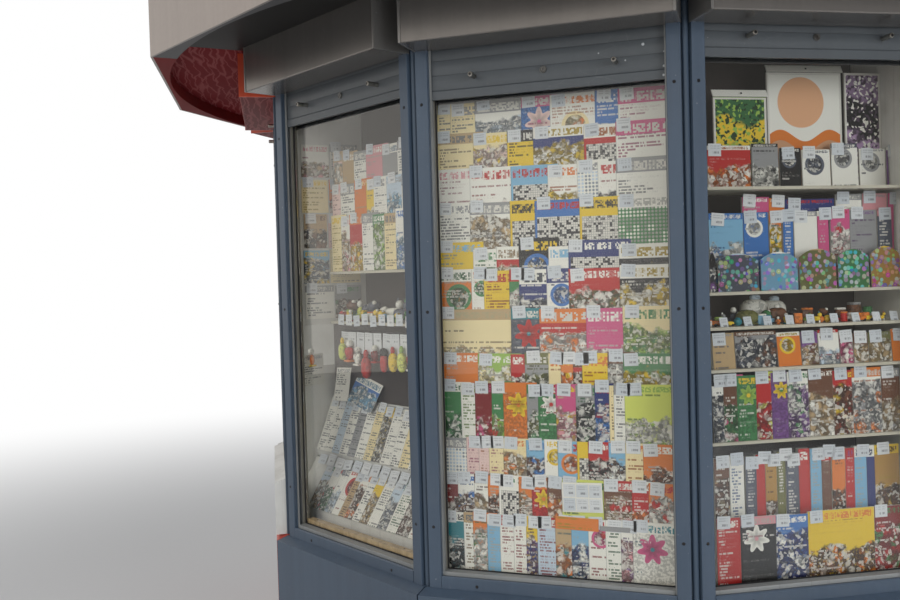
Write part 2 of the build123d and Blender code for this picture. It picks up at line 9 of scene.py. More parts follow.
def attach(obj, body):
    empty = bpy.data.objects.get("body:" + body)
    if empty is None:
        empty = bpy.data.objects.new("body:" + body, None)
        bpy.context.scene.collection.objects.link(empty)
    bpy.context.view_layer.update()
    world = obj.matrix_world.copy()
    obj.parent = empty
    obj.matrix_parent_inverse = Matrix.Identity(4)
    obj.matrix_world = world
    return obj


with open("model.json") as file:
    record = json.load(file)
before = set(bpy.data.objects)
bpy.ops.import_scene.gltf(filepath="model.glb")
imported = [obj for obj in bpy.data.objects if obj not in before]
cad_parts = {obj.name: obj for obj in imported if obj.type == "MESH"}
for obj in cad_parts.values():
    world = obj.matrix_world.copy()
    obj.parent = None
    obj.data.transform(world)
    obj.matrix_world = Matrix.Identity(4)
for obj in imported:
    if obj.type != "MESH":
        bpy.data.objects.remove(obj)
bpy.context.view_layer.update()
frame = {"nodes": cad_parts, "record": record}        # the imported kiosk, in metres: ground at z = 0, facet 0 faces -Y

random = np.random.default_rng(1207)
print("stage: frame loaded,", len(frame["nodes"]), "nodes")

# plan of the kiosk: facets count anticlockwise from above, each turned 30 degrees
plan = {
    "facets": 12,
    "faceOut": 1.370,        # window frames' face, from the axis
    "doorFacet": 3,
    "newsFacets": (4, 7, 11),
    "magazineFacets": (0, 2, 6),
    "shelfFacets": (1, 5, 8),
    "longFacet": 11,         # its newspaper rack runs on behind the next window
}
windowFacets = [k for k in range(plan["facets"]) if k != plan["doorFacet"]]


# the normal of facet k is turned (-90 + 30 k) degrees from +X, its tangent a quarter turn on from that
def facetTurn(facet):
    turn = math.radians(-90 + 360 / plan["facets"] * facet)
    return math.cos(turn), math.sin(turn)


def facetToWorld(points, facet):        # out * normal + along * tangent + up, in rows of x, y, z
    cosT, sinT = facetTurn(facet)
    along, out, up = points[..., 0], points[..., 1], points[..., 2]
    return np.stack([out * cosT - along * sinT, out * sinT + along * cosT, up], axis=-1).reshape(-1, 3)


# node helpers: they build in the tree that stands in bench, and hand on wires
bench = {"tree": None}


def sumOf(operation):
    return lambda first, second: maths(operation, first, second)


class Wire:        # an output of a node; a sum or comparison written with wires adds its Math node
    def __init__(self, socket):
        self.socket = socket

    __add__, __sub__, __mul__ = sumOf("ADD"), sumOf("SUBTRACT"), sumOf("MULTIPLY")
    __truediv__, __gt__, __lt__ = sumOf("DIVIDE"), sumOf("GREATER_THAN"), sumOf("LESS_THAN")


def feed(socket, value):        # a wire is linked, anything else is set on the input
    if isinstance(value, Wire):
        bench["tree"].links.new(value.socket, socket)
    elif socket.type == "RGBA":
        socket.default_value = (*value[:3], 1)
    else:
        socket.default_value = value


def addNode(kind, feeds=(), **settings):        # feeds: what goes into which input, by name or number
    node = bench["tree"].nodes.new("ShaderNode" + kind)
    for name, setting in settings.items():
        setattr(node, name, setting)
    for name, value in dict(feeds).items():
        feed(node.inputs[name], value)
    return node


def wireOf(kind, feeds=(), output=0, **settings):
    return Wire(addNode(kind, feeds, **settings).outputs[output])


def maths(operation, first, second=0.0):
    return wireOf("Math", {0: first, 1: second}, operation=operation)


def clamped(value):        # keeps the last Math node's result between 0 and 1
    value.socket.node.use_clamp = True
    return value


def vectorMaths(operation, first, second=(0, 0, 0)):
    output = "Value" if operation in ("DOT_PRODUCT", "DISTANCE", "LENGTH") else "Vector"
    return wireOf("VectorMath", {0: first, 1: second}, output, operation=operation)


def blend(factor, first, second, mode="MIX"):
    return wireOf("Mix", {0: factor, 6: first, 7: second}, 2, data_type="RGBA", blend_type=mode)


def remap(value, low, high, outLow=0.0, outHigh=1.0):        # smooth step between low and high
    feeds = {"Value": value, "From Min": low, "From Max": high, "To Min": outLow, "To Max": outHigh}
    return wireOf("MapRange", feeds, interpolation_type="SMOOTHSTEP")


def objectPlace():
    return wireOf("TexCoord", output="Object")


def faceNormal():
    return wireOf("NewGeometry", output="True Normal")


def lightPath(output):
    return wireOf("LightPath", output=output)


def stretched(vector, scale, turn=(0, 0, 0)):
    return wireOf("Mapping", {"Vector": vector, "Scale": scale, "Rotation": turn})


def noise(vector, scale, detail=3.0, roughness=0.55, distortion=0.0):
    feeds = {"Vector": vector, "Scale": scale, "Detail": detail, "Roughness": roughness, "Distortion": distortion}
    return wireOf("TexNoise", feeds, "Fac")


def cells(vector, scale, feature="F1", output="Distance"):
    return wireOf("TexVoronoi", {"Vector": vector, "Scale": scale}, output, feature=feature)


def whiteNoise(vector):
    return wireOf("TexWhiteNoise", {"Vector": vector}, "Value", noise_dimensions="3D")


def joinVector(x, y, z=0.0):
    return wireOf("CombineXYZ", {0: x, 1: y, 2: z})


def splitVector(vector):
    return [Wire(output) for output in addNode("SeparateXYZ", {0: vector}).outputs]


def meshAttribute(name, output="Fac"):
    return wireOf("Attribute", output=output, attribute_name=name)


def printPlace():        # metres from a sheet's upper left corner, to the right and down
    return splitVector(wireOf("UVMap", uv_map="print"))[:2]


def bumpFrom(height, strength, distance):
    return wireOf("Bump", {"Strength": strength, "Distance": distance, "Height": height})


# size of place . (up x normal), which is the distance from the middle of the facet
# on a front face, and distance out from the axis on a face that looks along the facet
def acrossFace():
    tangent = vectorMaths("CROSS_PRODUCT", (0, 0, 1), faceNormal())
    return maths("ABSOLUTE", vectorMaths("DOT_PRODUCT", objectPlace(), tangent))


def darker(colour, share):
    return blend(1.0, colour, (share, share, share), "MULTIPLY")


def shadedBy(colour, shade):
    return blend(1.0, colour, joinVector(shade, shade, shade), "MULTIPLY")


def mixShaders(factor, first, second):
    return wireOf("MixShader", {0: factor, 1: first, 2: second})


def startMaterial(name):
    material = bpy.data.materials.new(name)
    material.use_nodes = True
    bench["tree"] = material.node_tree
    material.node_tree.nodes.clear()
    return material


def principled(feeds):
    return wireOf("BsdfPrincipled", feeds)


def showSurface(surface):
    addNode("OutputMaterial", {0: surface})


# coated metal; "shine" is the specular level, "under" a darker colour for faces that look down, which is
# painted shade, and the sheen cells give paler lines round long cells, which are painted reflection
paints = {
    "grey_paint": {"colour": (0.059, 0.085, 0.122), "rough": 0.40, "dust": 0.5, "streaks": 0.16, "chips": 0.25},
    "red_paint": {"colour": (0.520, 0.050, 0.026), "rough": 0.40, "dust": 0.4, "streaks": 0.10, "chips": 0.15},
    # the red boxes' "under" colour is painted shade on their undersides, and their sheen lines are painted reflection
    "red_box": {"colour": (0.520, 0.050, 0.026), "rough": 0.50, "streaks": 0.10, "chips": 0.10, "shine": 0.10,
                "under": (0.150, 0.003, 0.006), "paintedSheen": (0.300, 0.070, 0.070)},
    "grey_cap": {"colour": (0.250, 0.240, 0.228), "rough": 0.32, "dust": 0.1, "streaks": 0.10, "chips": 0.30,
                 "metal": 0.6},
    "red_cap": {"colour": (0.640, 0.085, 0.035), "rough": 0.34, "streaks": 0.06, "chips": 0.10},
    "grey_soffit": {"colour": (0.015, 0.0145, 0.0145), "rough": 0.50, "shine": 0.12},
    # the red soffit's sheen lines are painted reflection
    "red_soffit": {"colour": (0.170, 0.003, 0.006), "rough": 0.70, "paintedSheen": (0.300, 0.070, 0.070), "shine": 0.08},
    "box_paint": {"colour": (0.212, 0.196, 0.182), "rough": 0.22, "streaks": 0.12, "chips": 0.15, "metal": 0.6},
    "grey_rim": {"colour": (0.075, 0.075, 0.078), "rough": 0.50, "streaks": 0.10, "chips": 0.10, "shine": 0.3},
    "red_rim": {"colour": (0.200, 0.012, 0.012), "rough": 0.60, "streaks": 0.06, "chips": 0.05, "shine": 0.1},
    "grey_slats": {"colour": (0.080, 0.090, 0.098), "rough": 0.42, "dust": 0.2, "streaks": 0.10, "chips": 0.80,
                   # scrapes on the front shutter: along the facet, up, and radius
                   "scrapes": ((0.310, 2.158, 0.0036), (0.309, 2.135, 0.0034), (0.311, 2.194, 0.0026),
                               (0.259, 2.217, 0.0040), (0.214, 2.181, 0.0024), (0.146, 2.206, 0.0020))},
    "red_slats": {"colour": (0.480, 0.050, 0.030), "rough": 0.42, "dust": 0.2, "streaks": 0.10, "chips": 0.60},
    "pale_fascia": {"colour": (0.305, 0.265, 0.244), "rough": 0.34, "dust": 0.1, "streaks": 0.12, "chips": 0.05,
                    "metal": 0.5},
    "post_paint": {"colour": (0.051, 0.077, 0.113), "rough": 0.42, "dust": 0.4, "streaks": 0.20, "chips": 0.20},
    "frame_steel": {"colour": (0.030, 0.031, 0.033), "rough": 0.60, "dust": 0.8, "streaks": 0.10, "chips": 0.10},
    "roof_sheet": {"colour": (0.230, 0.240, 0.250), "rough": 0.48, "dust": 0.1, "streaks": 0.25, "chips": 0.05},
    "door_paint": {"colour": (0.059, 0.085, 0.122), "rough": 0.42, "dust": 0.5, "streaks": 0.16, "chips": 0.25},
}
paintShared = {
    "dust": 0.0, "streaks": 0.0, "chips": 0.0, "metal": 0.0, "shine": 0.5, "coat": 0.16, "scrapes": (),
    "dustColour": (0.230, 0.205, 0.175),
    "dustLevel": 0.42,        # road dust thins out up to this height
    "chipColour": (0.480, 0.490, 0.500),
    "endZone": (0.255, 0.305),        # slats are rubbed beyond these distances from their middle
    "slatsOut": 1.350,
    "sheenAcross": (37.2, 21.5, 0.0), "sheenAlong": (-1.7, 3.0, 0.0),        # the cells of the painted reflection are long one way
    # scale, detail and roughness of each noise
    "cloud": (1.7, 4), "mottle": (75, 2), "peel": (420, 2), "bend": (9, 2), "splash": (9, 5, 0.65),
    "spots": (55, 3, 0.6), "scratched": (4, 2), "frayed": (160, 3), "streaky": (1.0, 4, 0.6),
    "streakStretch": (34, 34, 1.1), "hairStretch": ((1, 1, 3.2), (0.5, 0.3, 0.2)), "hairs": 11,
}


def coatedMetal(name, paint):
    look = {**paintShared, **paint}
    material = startMaterial(name)
    place = objectPlace()
    height = splitVector(place)[2]
    cloud = noise(place, *look["cloud"]) - 0.5
    streak = noise(stretched(place, look["streakStretch"]), *look["streaky"])
    shade = cloud * 0.30 + 1.0
    shade = (noise(place, *look["mottle"]) - 0.5) * 0.10 + shade
    shade = (streak - 0.5) * (look["streaks"] * 2) + shade
    ground, below, relief = look["colour"], 1.0, bumpFrom(noise(place, *look["peel"]), 0.05, 0.001)
    # painted shade: faces that look down take the darker "under" colour
    if "under" in look:
        below = splitVector(faceNormal())[2] < -0.5
        ground = blend(below, ground, look["under"])
    if "paintedSheen" in look:        # painted reflection: paler lines round long, bent cells
        across = vectorMaths("DOT_PRODUCT", place, look["sheenAcross"])
        along = vectorMaths("DOT_PRODUCT", place, look["sheenAlong"])
        bent = joinVector(noise(place, *look["bend"]) * 2.0 + across, along)
        edge = cells(bent, 1.0, "DISTANCE_TO_EDGE")
        ground = blend(remap(edge, 0.02, 0.11, 0.85, 0.0) * below, ground, look["paintedSheen"])
        relief = bumpFrom(edge, 0.10, 0.003)
    colour = shadedBy(ground, shade)
    # dust: rises from the ground and settles in blotches
    splash = noise(place, *look["splash"])
    low = remap(height, 0.0, look["dustLevel"], 1.0, 0.0)
    dust = clamped(low * look["dust"] * remap(splash, 0.3, 0.75))
    film = remap(splash, 0.45, 0.8) * (0.02 + look["dust"] * 0.06) + dust
    colour = blend(film, colour, look["dustColour"])
    # chips and rubbed spots, mostly towards the ends, and hair scratches
    ends = remap(acrossFace(), *look["endZone"], 0.06, 1.0)
    worn = clamped(remap(noise(place, *look["spots"]), 0.70, 0.76) * ends * look["chips"])
    hair = cells(stretched(place, *look["hairStretch"]), look["hairs"], "DISTANCE_TO_EDGE")
    scratch = clamped(remap(hair, 0.0, 0.006, 1.0, 0.0) * remap(noise(place, *look["scratched"]), 0.52, 0.70))
    worn = clamped(scratch * (look["chips"] * 0.35) + worn)
    for along, level, size in look["scrapes"]:        # single scrapes, frayed by a noise
        apart = vectorMaths("DISTANCE", place, (along, -look["slatsOut"], level))
        frayed = (noise(place, *look["frayed"]) - 0.5) * size + apart
        worn = maths("MAXIMUM", worn, remap(frayed, size * 0.8, size, 1.0, 0.0))
    showSurface(principled({
        "Base Color": blend(worn, colour, look["chipColour"]),
        "Roughness": clamped(film * 0.8 + (cloud * 0.18 + look["rough"])), "Normal": relief,
        "Metallic": look["metal"], "Specular IOR Level": look["shine"],
        "Coat Weight": look["coat"] * look["shine"]}))
    return material


# other finishes of the frame, by slot or by their own names
finishes = {
    "lock_metal": {"colour": (0.46, 0.44, 0.40), "rough": 0.36},
    "lock_face": {"colour": (0.20, 0.20, 0.195), "rough": 0.40},
    "dark_screw": {"colour": (0.060, 0.060, 0.064), "rough": 0.5},
    "jamb_paint": {"colour": (0.200, 0.190, 0.158), "rough": 0.38, "grime": (0.080, 0.072, 0.058),
                   "lip": (0.285, 0.290, 0.282), "lipOut": 1.346},
    "gasket_rubber": {"colour": (0.016, 0.016, 0.017), "rough": 0.62, "grime": (0.050, 0.046, 0.040)},
    "batten_wood": {"pale": (0.600, 0.450, 0.260), "dark": (0.330, 0.225, 0.120), "grain": 22, "rough": 0.45},
    "floor_board": {"pale": (0.210, 0.150, 0.095), "dark": (0.110, 0.072, 0.045), "grain": 14, "rough": 0.6},
    "white_board": {"colour": (0.700, 0.690, 0.645), "rough": 0.34, "grime": (0.300, 0.275, 0.230)},
    "shelf_board": {"colour": (0.600, 0.560, 0.455), "rough": 0.40, "grime": (0.330, 0.290, 0.210)},
    # the end board is the white laminate made paler: painted light where the lamps barely reach it
    "end_board": {"colour": (0.860, 0.850, 0.800), "rough": 0.34, "grime": (0.500, 0.480, 0.430)},
    "dark_board": {"colour": (0.058, 0.046, 0.042), "rough": 0.5, "grime": (0.120, 0.104, 0.090)},
    "clear_glass": {"tint": (0.970, 0.980, 0.975), "ior": 1.45, "rough": 0.0},
}
steelStain = (0.12, 0.105, 0.09)


def dullSteel(name):
    look = finishes[name]
    material = startMaterial(name)
    place = objectPlace()
    rub = noise(stretched(place, (300, 300, 40)), 1.0, 3)
    stain = remap(noise(place, 60, 4), 0.45, 0.75, 0.0, 0.55)
    showSurface(principled({"Base Color": blend(stain, look["colour"], steelStain), "Metallic": 1.0,
                            "Roughness": rub * 0.3 + (look["rough"] - 0.1), "Normal": bumpFrom(rub, 0.06, 0.0006)}))
    return material


def smoothBoard(name):        # laminate or extruded plastic, with grime in blotches and fine runs
    look = finishes[name]
    material = startMaterial(name)
    place = objectPlace()
    runs = noise(stretched(place, (90, 90, 2.2)), 1.0, 3)
    mark = remap(noise(place, 6, 5, 0.6), 0.46, 0.80) * 0.35
    mark = clamped(remap(runs, 0.55, 0.75) * 0.22 + mark)
    ground = look["colour"]
    if "lip" in look:        # the front lip is paler than what stands behind it
        across = acrossFace()
        front = maths("MAXIMUM", across > look["lipOut"], across < look["lipOut"] / 2)
        ground = blend(front, ground, look["lip"])
    showSurface(principled({"Base Color": blend(mark, ground, look["grime"]),
                            "Roughness": mark * 0.5 + look["rough"],
                            "Normal": bumpFrom(noise(place, 260, 2), 0.03, 0.001)}))
    return material


def plankWood(name):        # rings of a stretched, bent noise, with darker knots
    look = finishes[name]
    material = startMaterial(name)
    place = objectPlace()
    bent = noise(stretched(place, (1, 1, 0.35)), 3.5, 3, 0.5)
    fibre = noise(stretched(place, (180, 180, 9)), 1.0, 3)
    knot = remap(cells(place, 4.5), 0.0, 0.10, 1.0, 0.0)
    mix = maths("SINE", bent * (look["grain"] * 2 * math.pi)) * 0.22 + 0.35
    mix = clamped((fibre - 0.5) * 0.5 + mix + knot)
    showSurface(principled({"Base Color": blend(mix, look["pale"], look["dark"]),
                            "Roughness": fibre * 0.2 + look["rough"], "Normal": bumpFrom(fibre, 0.12, 0.001)}))
    return material


def windowGlass(name):        # clear glass that lets lamps through to what stands behind it
    look = finishes[name]
    material = startMaterial(name)
    glass = principled({"Base Color": look["tint"], "Roughness": look["rough"], "IOR": look["ior"],
                        "Transmission Weight": 1.0})
    clear = wireOf("BsdfTransparent", {0: look["tint"]})
    showSurface(mixShaders(lightPath("Is Shadow Ray"), glass, clear))
    return material


surfaces = {slot: coatedMetal(slot, paint) for slot, paint in paints.items()}
for maker, names in ((dullSteel, "lock_metal lock_face dark_screw"), (plankWood, "batten_wood floor_board"),
                     (smoothBoard, "jamb_paint gasket_rubber white_board shelf_board end_board dark_board"),
                     (windowGlass, "clear_glass")):
    surfaces.update({name: maker(name) for name in names.split()})
# display_end takes the paler board, which is painted light
ownFinish = {"display_backs": "dark_board", "display_shelves": "shelf_board", "display_end": "end_board",
             "shutter_boxes_grey": "box_paint", "shutter_boxes_red": "red_box",
             "frame_stiles_red": "grey_paint", "frame_sills_red": "grey_paint"}

slotOfNode = {entry["node"]: entry["material_slot"] for entry in frame["record"]["subparts"]}
for nodeName, nodeObject in frame["nodes"].items():
    finish = surfaces[ownFinish.get(nodeName, slotOfNode[nodeName])]
    if not nodeObject.material_slots:
        nodeObject.data.materials.append(finish)
    for slot in nodeObject.material_slots:
        slot.material = finish
print("stage: frame finished")


# new pieces: their points stand in facet coordinates
def addPiece(name, facet, points, faces, finish, slot, smooth=False):
    mesh = bpy.data.meshes.new(name)
    mesh.from_pydata(facetToWorld(points, facet).tolist(), [], faces)
    mesh.materials.append(surfaces[finish])
    mesh.polygons.foreach_set("use_smooth", np.full(len(faces), smooth))
    mesh.update()
    piece = bpy.data.objects.new(name, mesh)
    bpy.context.scene.collection.objects.link(piece)
    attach(piece, "root")
    return mesh


def storeOnPoints(mesh, key, values, repeats):        # a number or colour for each sheet, spread over its points
    values = np.asarray(values, float)
    coloured = values.ndim == 2
    if coloured:
        values = np.concatenate([values, np.ones((len(values), 1))], axis=1)
    store = mesh.attributes.new(key, "FLOAT_COLOR" if coloured else "FLOAT", "POINT")
    spread = np.repeat(values, repeats, axis=0).astype(np.float32).ravel()
    store.data.foreach_set("color" if coloured else "value", spread)


# a sheet of paper, card or a book: its front is a grid of s across and t up,
#   along = left + wide / 2 + x cos(roll) - y sin(roll),  with x = (s - 1/2) wide
#   and y = t high (1 - arch (2 s - 1)^2)
#   out   = foot - y' sin(lean) - swing s wide,  up = bottom + y' cos(lean),  with y' = x sin(roll) + y cos(roll)
# the back is the same grid set back by the thickness, and strips close the edges
sheetFields = {"left": 0.0, "bottom": 0.0, "wide": 0.1, "high": 0.1, "foot": 0.0, "lean": 0.0, "roll": 0.0,
               "thick": 0.0015, "arch": 0.0, "swing": 0.0}
sheetGrid = {"across": 3, "up": 2, "archedAcross": 8}


def sheetMesh(sheets, arched):
    count = len(sheets["left"])
    across, up = sheetGrid["archedAcross" if arched else "across"], sheetGrid["up"]
    s, t = np.meshgrid(np.linspace(0, 1, across + 1), np.linspace(0, 1, up + 1), indexing="ij")
    s, t = s.ravel(), t.ravel()
    left, bottom, wide, high, foot, lean, roll, thick, arch, swing = (
        np.broadcast_to(sheets.get(key, start), (count,))[:, None]
        for key, start in sheetFields.items())
    x = (s - 0.5) * wide
    y = t * high * (1 - arch * (2 * s - 1) ** 2)
    turnedY = x * np.sin(roll) + y * np.cos(roll)
    along = left + wide / 2 + x * np.cos(roll) - y * np.sin(roll)
    out = foot - turnedY * np.sin(lean) - swing * s * wide
    level = bottom + turnedY * np.cos(lean)
    front = np.stack([along, out, level], axis=-1)
    back = np.stack([along, out - thick * np.cos(lean), level - thick * np.sin(lean)], axis=-1)
    points = np.concatenate([front, back], axis=1)
    grid = np.arange((across + 1) * (up + 1)).reshape(across + 1, up + 1)
    quads = np.stack([grid[:-1, :-1], grid[1:, :-1], grid[1:, 1:], grid[:-1, 1:]], axis=-1).reshape(-1, 4)
    rim = np.concatenate([grid[:, 0], grid[-1, 1:], grid[-2::-1, -1], grid[0, -2:0:-1]])
    nextRim = np.roll(rim, -1)
    sides = np.stack([rim, rim + grid.size, nextRim + grid.size, nextRim], axis=-1)
    pattern = np.concatenate([quads, quads[:, ::-1] + grid.size, sides])
    faces = (pattern[None] + (np.arange(count) * points.shape[1])[:, None, None]).reshape(-1, 4)
    # print coordinates in metres from the cover's upper left corner, -1 off the front
    uvFront = np.stack([(s * wide)[:, quads], (high - y)[:, quads]], axis=-1)
    uvRest = np.full((count, len(pattern) - len(quads), 4, 2), -1.0)
    return points, faces, np.concatenate([uvFront, uvRest], axis=1).reshape(-1, 2)


def evenOut(sheets):        # each value once for every sheet
    count = len(sheets["left"])
    return {key: np.broadcast_to(value, (count,) + np.shape(value)[1:]) for key, value in sheets.items()}


def joinSheets(groups):
    groups = [evenOut(group) for group in groups]
    return {key: np.concatenate([group[key] for group in groups]) for key in groups[0]}


def addSheets(name, facet, sheets, finish, arched=False):
    sheets = evenOut(sheets)
    points, faces, uv = sheetMesh(sheets, arched)
    mesh = addPiece(name, facet, points, faces.tolist(), finish, "white_board")
    layer = mesh.uv_layers.new(name="print")
    layer.data.foreach_set("uv", uv.astype(np.float32).ravel())
    for key in ("inkA", "inkB", "inkC", "seed", "kind", "wide", "high", "band"):
        if key in sheets:
            stored = key if key.startswith("ink") else "cover" + key.capitalize()
            storeOnPoints(mesh, stored, sheets[key], points.shape[1])


# printed covers: a band with a plain broken bar, over a body of one of these kinds
coverKinds = ("picture", "puzzle", "lines", "disc", "plain", "petals", "grid", "board", "scene", "beads")
coverLook = {
    "paper": (0.720, 0.695, 0.630), "ink": (0.022, 0.020, 0.024), "rough": 0.40,
    "margin": 0.006, "lineStep": 0.0080, "markStep": 0.0032, "shortLine": 0.022,
    "puzzleCell": 0.0062, "gridCell": 0.019,
    "heaps": 58, "flecks": 150, "beads": 76,        # cells in a metre
    "petals": 7, "discSize": 0.34, "sunSize": 0.31,        # sizes in shares of the width
    "lightness": (0.25, 0.65, 0.10),
}


def within(value, low, high):
    return (value > low) * (value < high)


def isKind(kind, name):        # a cover's kind is stored as its place in the list
    number = coverKinds.index(name)
    return within(kind, number - 0.5, number + 0.5)


def stepIndex(value, step):
    return maths("FLOOR", value / step)


def fraction(value):
    return maths("FRACT", value)


def farFrom(x, y):
    return maths("SQRT", x * x + y * y)


def printedCover(name):
    look = coverLook
    material = startMaterial(name)
    x, y = printPlace()
    inkA, inkB, inkC = (meshAttribute(key, "Color") for key in ("inkA", "inkB", "inkC"))
    seed, kind, wide, high, band = (meshAttribute("cover" + key) for key in ("Seed", "Kind", "Wide", "High", "Band"))
    paper, margin = look["paper"], look["margin"]
    seeded = joinVector(x, y, seed * 31.7)
    fromRight, fromFoot, underBand = wide - x, high - y, y - band
    inside = (x > margin) * (fromRight > margin)
    framed = inside * (y > margin) * (fromFoot > margin)
    # pictures: heaps of round things, each with its own tone, dark between them
    bent = vectorMaths("MULTIPLY", (0.02, 0.02, 0.0), joinVector(noise(seeded, 30, 2), noise(seeded, 37, 2)))
    bent = vectorMaths("ADD", seeded, bent)
    tone, second, third = splitVector(cells(bent, look["heaps"], "F1", "Color"))
    picture = blend(remap(tone, 0.35, 0.75), inkC, darker(inkC, 0.42))
    picture = blend(second > 0.74, picture, inkB)
    picture = blend((third > 0.80) * 0.8, picture, paper)
    heap = remap(cells(bent, look["heaps"]), 0.30, 0.75, 0.0, 0.75)
    picture = blend(heap, picture, darker(inkC, 0.20))
    crumbs = noise(seeded, 150, 2)
    picture = blend(remap(crumbs, 0.50, 0.75, 0.0, 0.6), picture, inkA)
    fleck, otherFleck, _ = splitVector(cells(bent, look["flecks"], "F1", "Color"))
    picture = blend((fleck > 0.70) * 0.65, picture, darker(inkC, 0.14))
    picture = blend((otherFleck > 0.82) * 0.75, picture, paper)
    # its upper edge is ragged, and the ground shows through above it
    ragged = (noise(seeded, 24, 3) - 0.5) * 0.09 + underBand
    startAt = (high - band) * fraction(seed * 17.3) * 0.45
    pictured = blend(remap(ragged - startAt, 0.0, 0.010), inkA, picture)
    # puzzle squares
    cell = look["puzzleCell"]
    filled = whiteNoise(joinVector(stepIndex(x, cell), stepIndex(y, cell), seed)) > 0.72
    rule = maths("MAXIMUM", *(maths("PINGPONG", value, cell / 2) < cell * 0.07 for value in (x, y)))
    puzzle = blend(rule * 0.6, blend(filled, paper, look["ink"]), look["ink"])
    area = (underBand > 0.016) * (fromFoot > margin * 2)
    puzzle = blend(inside * area, inkA, puzzle)
    # round plate, and a flower of the same size on a ground of leaves
    centreX, centreY = x - wide * 0.45, underBand - wide * 0.36
    radius = farFrom(centreX, centreY)
    edge = maths("MINIMUM", wide, 0.11) * look["discSize"]
    disc = blend(remap(radius - edge, -0.001, 0.001, 1.0, 0.0), inkA, inkC)
    disc = blend(radius < edge * 0.74, disc, darker(picture, 0.9))
    petalEdge = (maths("SINE", maths("ARCTAN2", centreY, centreX) * look["petals"]) * 0.22 + 0.86) * edge
    leaf = blend(remap(crumbs, 0.40, 0.60), inkA, darker(inkA, 0.6))
    petals = blend(remap(radius / petalEdge, 0.15, 1.0), darker(inkC, 0.55), inkC)
    petals = blend(radius < petalEdge, leaf, petals)
    petals = blend(remap(radius, 0.004, 0.007, 1.0, 0.0), petals, inkB)
    # rows of small round things in a card
    cell = look["gridCell"]
    dot = farFrom(*(maths("PINGPONG", value, cell / 2) - cell / 4 for value in (x, y)))
    dotTone = whiteNoise(joinVector(stepIndex(x, cell), stepIndex(y, cell), seed))
    dotColour = blend(dotTone > 0.5, inkC, darker(inkC, 0.4))
    dots = blend(remap(dot, cell * 0.13, cell * 0.22, 1.0, 0.0), inkA, dotColour)
    # framed board with a bed of leaves: dark above, the second ink in a band, the third below
    down = (noise(seeded, 14, 3) - 0.5) * 0.5 + y / high
    leaves = blend(remap(down, 0.20, 0.27), darker(inkC, 0.6), inkB)
    leaves = blend(remap(down, 0.50, 0.58), leaves, inkC)
    leaves = blend(fleck > 0.74, leaves, darker(inkC, 0.18))
    leaves = blend(otherFleck > 0.80, leaves, inkA)
    board = blend(framed, paper, leaves)
    # a round sun over a broad wave
    sun = remap(radius - wide * look["sunSize"], -0.001, 0.001, 1.0, 0.0)
    below = y / high + maths("SINE", x * 42) * 0.05
    scene = blend(within(below, 0.54, 0.63), blend(sun, inkA, inkC), inkB)
    scene = blend(framed, paper, blend(below > 0.63, scene, darker(inkC, 0.75)))
    # many small round things of their own colours
    bead = cells(seeded, look["beads"])
    beadInk = blend(0.50, cells(seeded, look["beads"], "F1", "Color"), inkC)
    beads = blend(remap(bead, 0.44, 0.56, 1.0, 0.0), darker(inkA, 0.7), beadInk)
    beads = blend(remap(bead, 0.08, 0.14, 1.0, 0.0), beads, darker(inkB, 0.9))
    body = pictured
    for option, kindName in zip((puzzle, inkA, disc, inkA, petals, dots, board, scene, beads), coverKinds[1:]):
        body = blend(isKind(kind, kindName), body, option)
    # short lines of broken marks: dense on lines, sparse on pictures, discs and petals, none on the others
    step = look["lineStep"]
    lineNumber = stepIndex(y, step)
    drawn = whiteNoise(joinVector(lineNumber, seed, 3.1))
    share = isKind(kind, "lines") * 0.50 + 0.22
    reach = maths("MAXIMUM", fraction(drawn * 41.7) * wide, look["shortLine"])
    onLine = (maths("PINGPONG", y, step / 2) > step * 0.20) * (x < reach) * (drawn < share)
    broken = whiteNoise(joinVector(stepIndex(x, look["markStep"]), lineNumber, seed)) > 0.26
    unlined = maths("MAXIMUM", isKind(kind, "plain"), isKind(kind, "puzzle"))
    unlined = maths("MAXIMUM", unlined, kind > coverKinds.index("petals") + 0.5)
    onLine = onLine * broken * inside * (unlined < 0.5)
    light = vectorMaths("DOT_PRODUCT", body, look["lightness"])
    marks = blend(remap(light, 0.20, 0.26), paper, darker(inkB, 0.45))
    body = blend(onLine * 0.85, body, marks)
    # title band: one bold broken bar, on the ground or on its own colour
    banded = fraction(seed * 7.3) > 0.62
    bandLight = remap(vectorMaths("DOT_PRODUCT", inkB, look["lightness"]), 0.30, 0.34)
    barColour = blend(banded, inkB, blend(bandLight, paper, darker(inkC, 0.5)))
    block = band * 0.125
    column, row = stepIndex(x, block), stepIndex(y, block)
    stroke = whiteNoise(joinVector(column, row, seed)) > 0.30
    gap = whiteNoise(joinVector(column, seed, 0.5)) > 0.22
    bar = stroke * gap * within(y / band, 0.25, 0.875) * inside * (kind < coverKinds.index("grid") + 0.5)
    bandColour = blend(bar, blend(banded, inkA, inkB), barColour)
    cover = blend(underBand < 0.0, body, bandColour)
    # folded left edge, a soft shade down it, and pale cut edges
    cover = shadedBy(cover, remap(x, 0.0, 0.0025, 0.55, 1.0))
    cover = blend(x > -0.5, darker(paper, 0.8), cover)
    showSurface(principled({"Base Color": cover, "Roughness": look["rough"], "Coat Weight": 0.1}))
    return material


tagLook = {"tints": ((0.60, 0.64, 0.68), (0.74, 0.75, 0.75)), "lines": (0.18, 0.18, 0.20), "bar": (0.08, 0.08, 0.10),
           "rough": 0.35, "margin": 0.004, "markStep": 0.0024,
           "small": ((0.005, 0.008), (0.011, 0.014)),        # the lines, down from the upper edge
           "price": (0.021, 0.027), "priceAcross": (0.36, 0.84)}


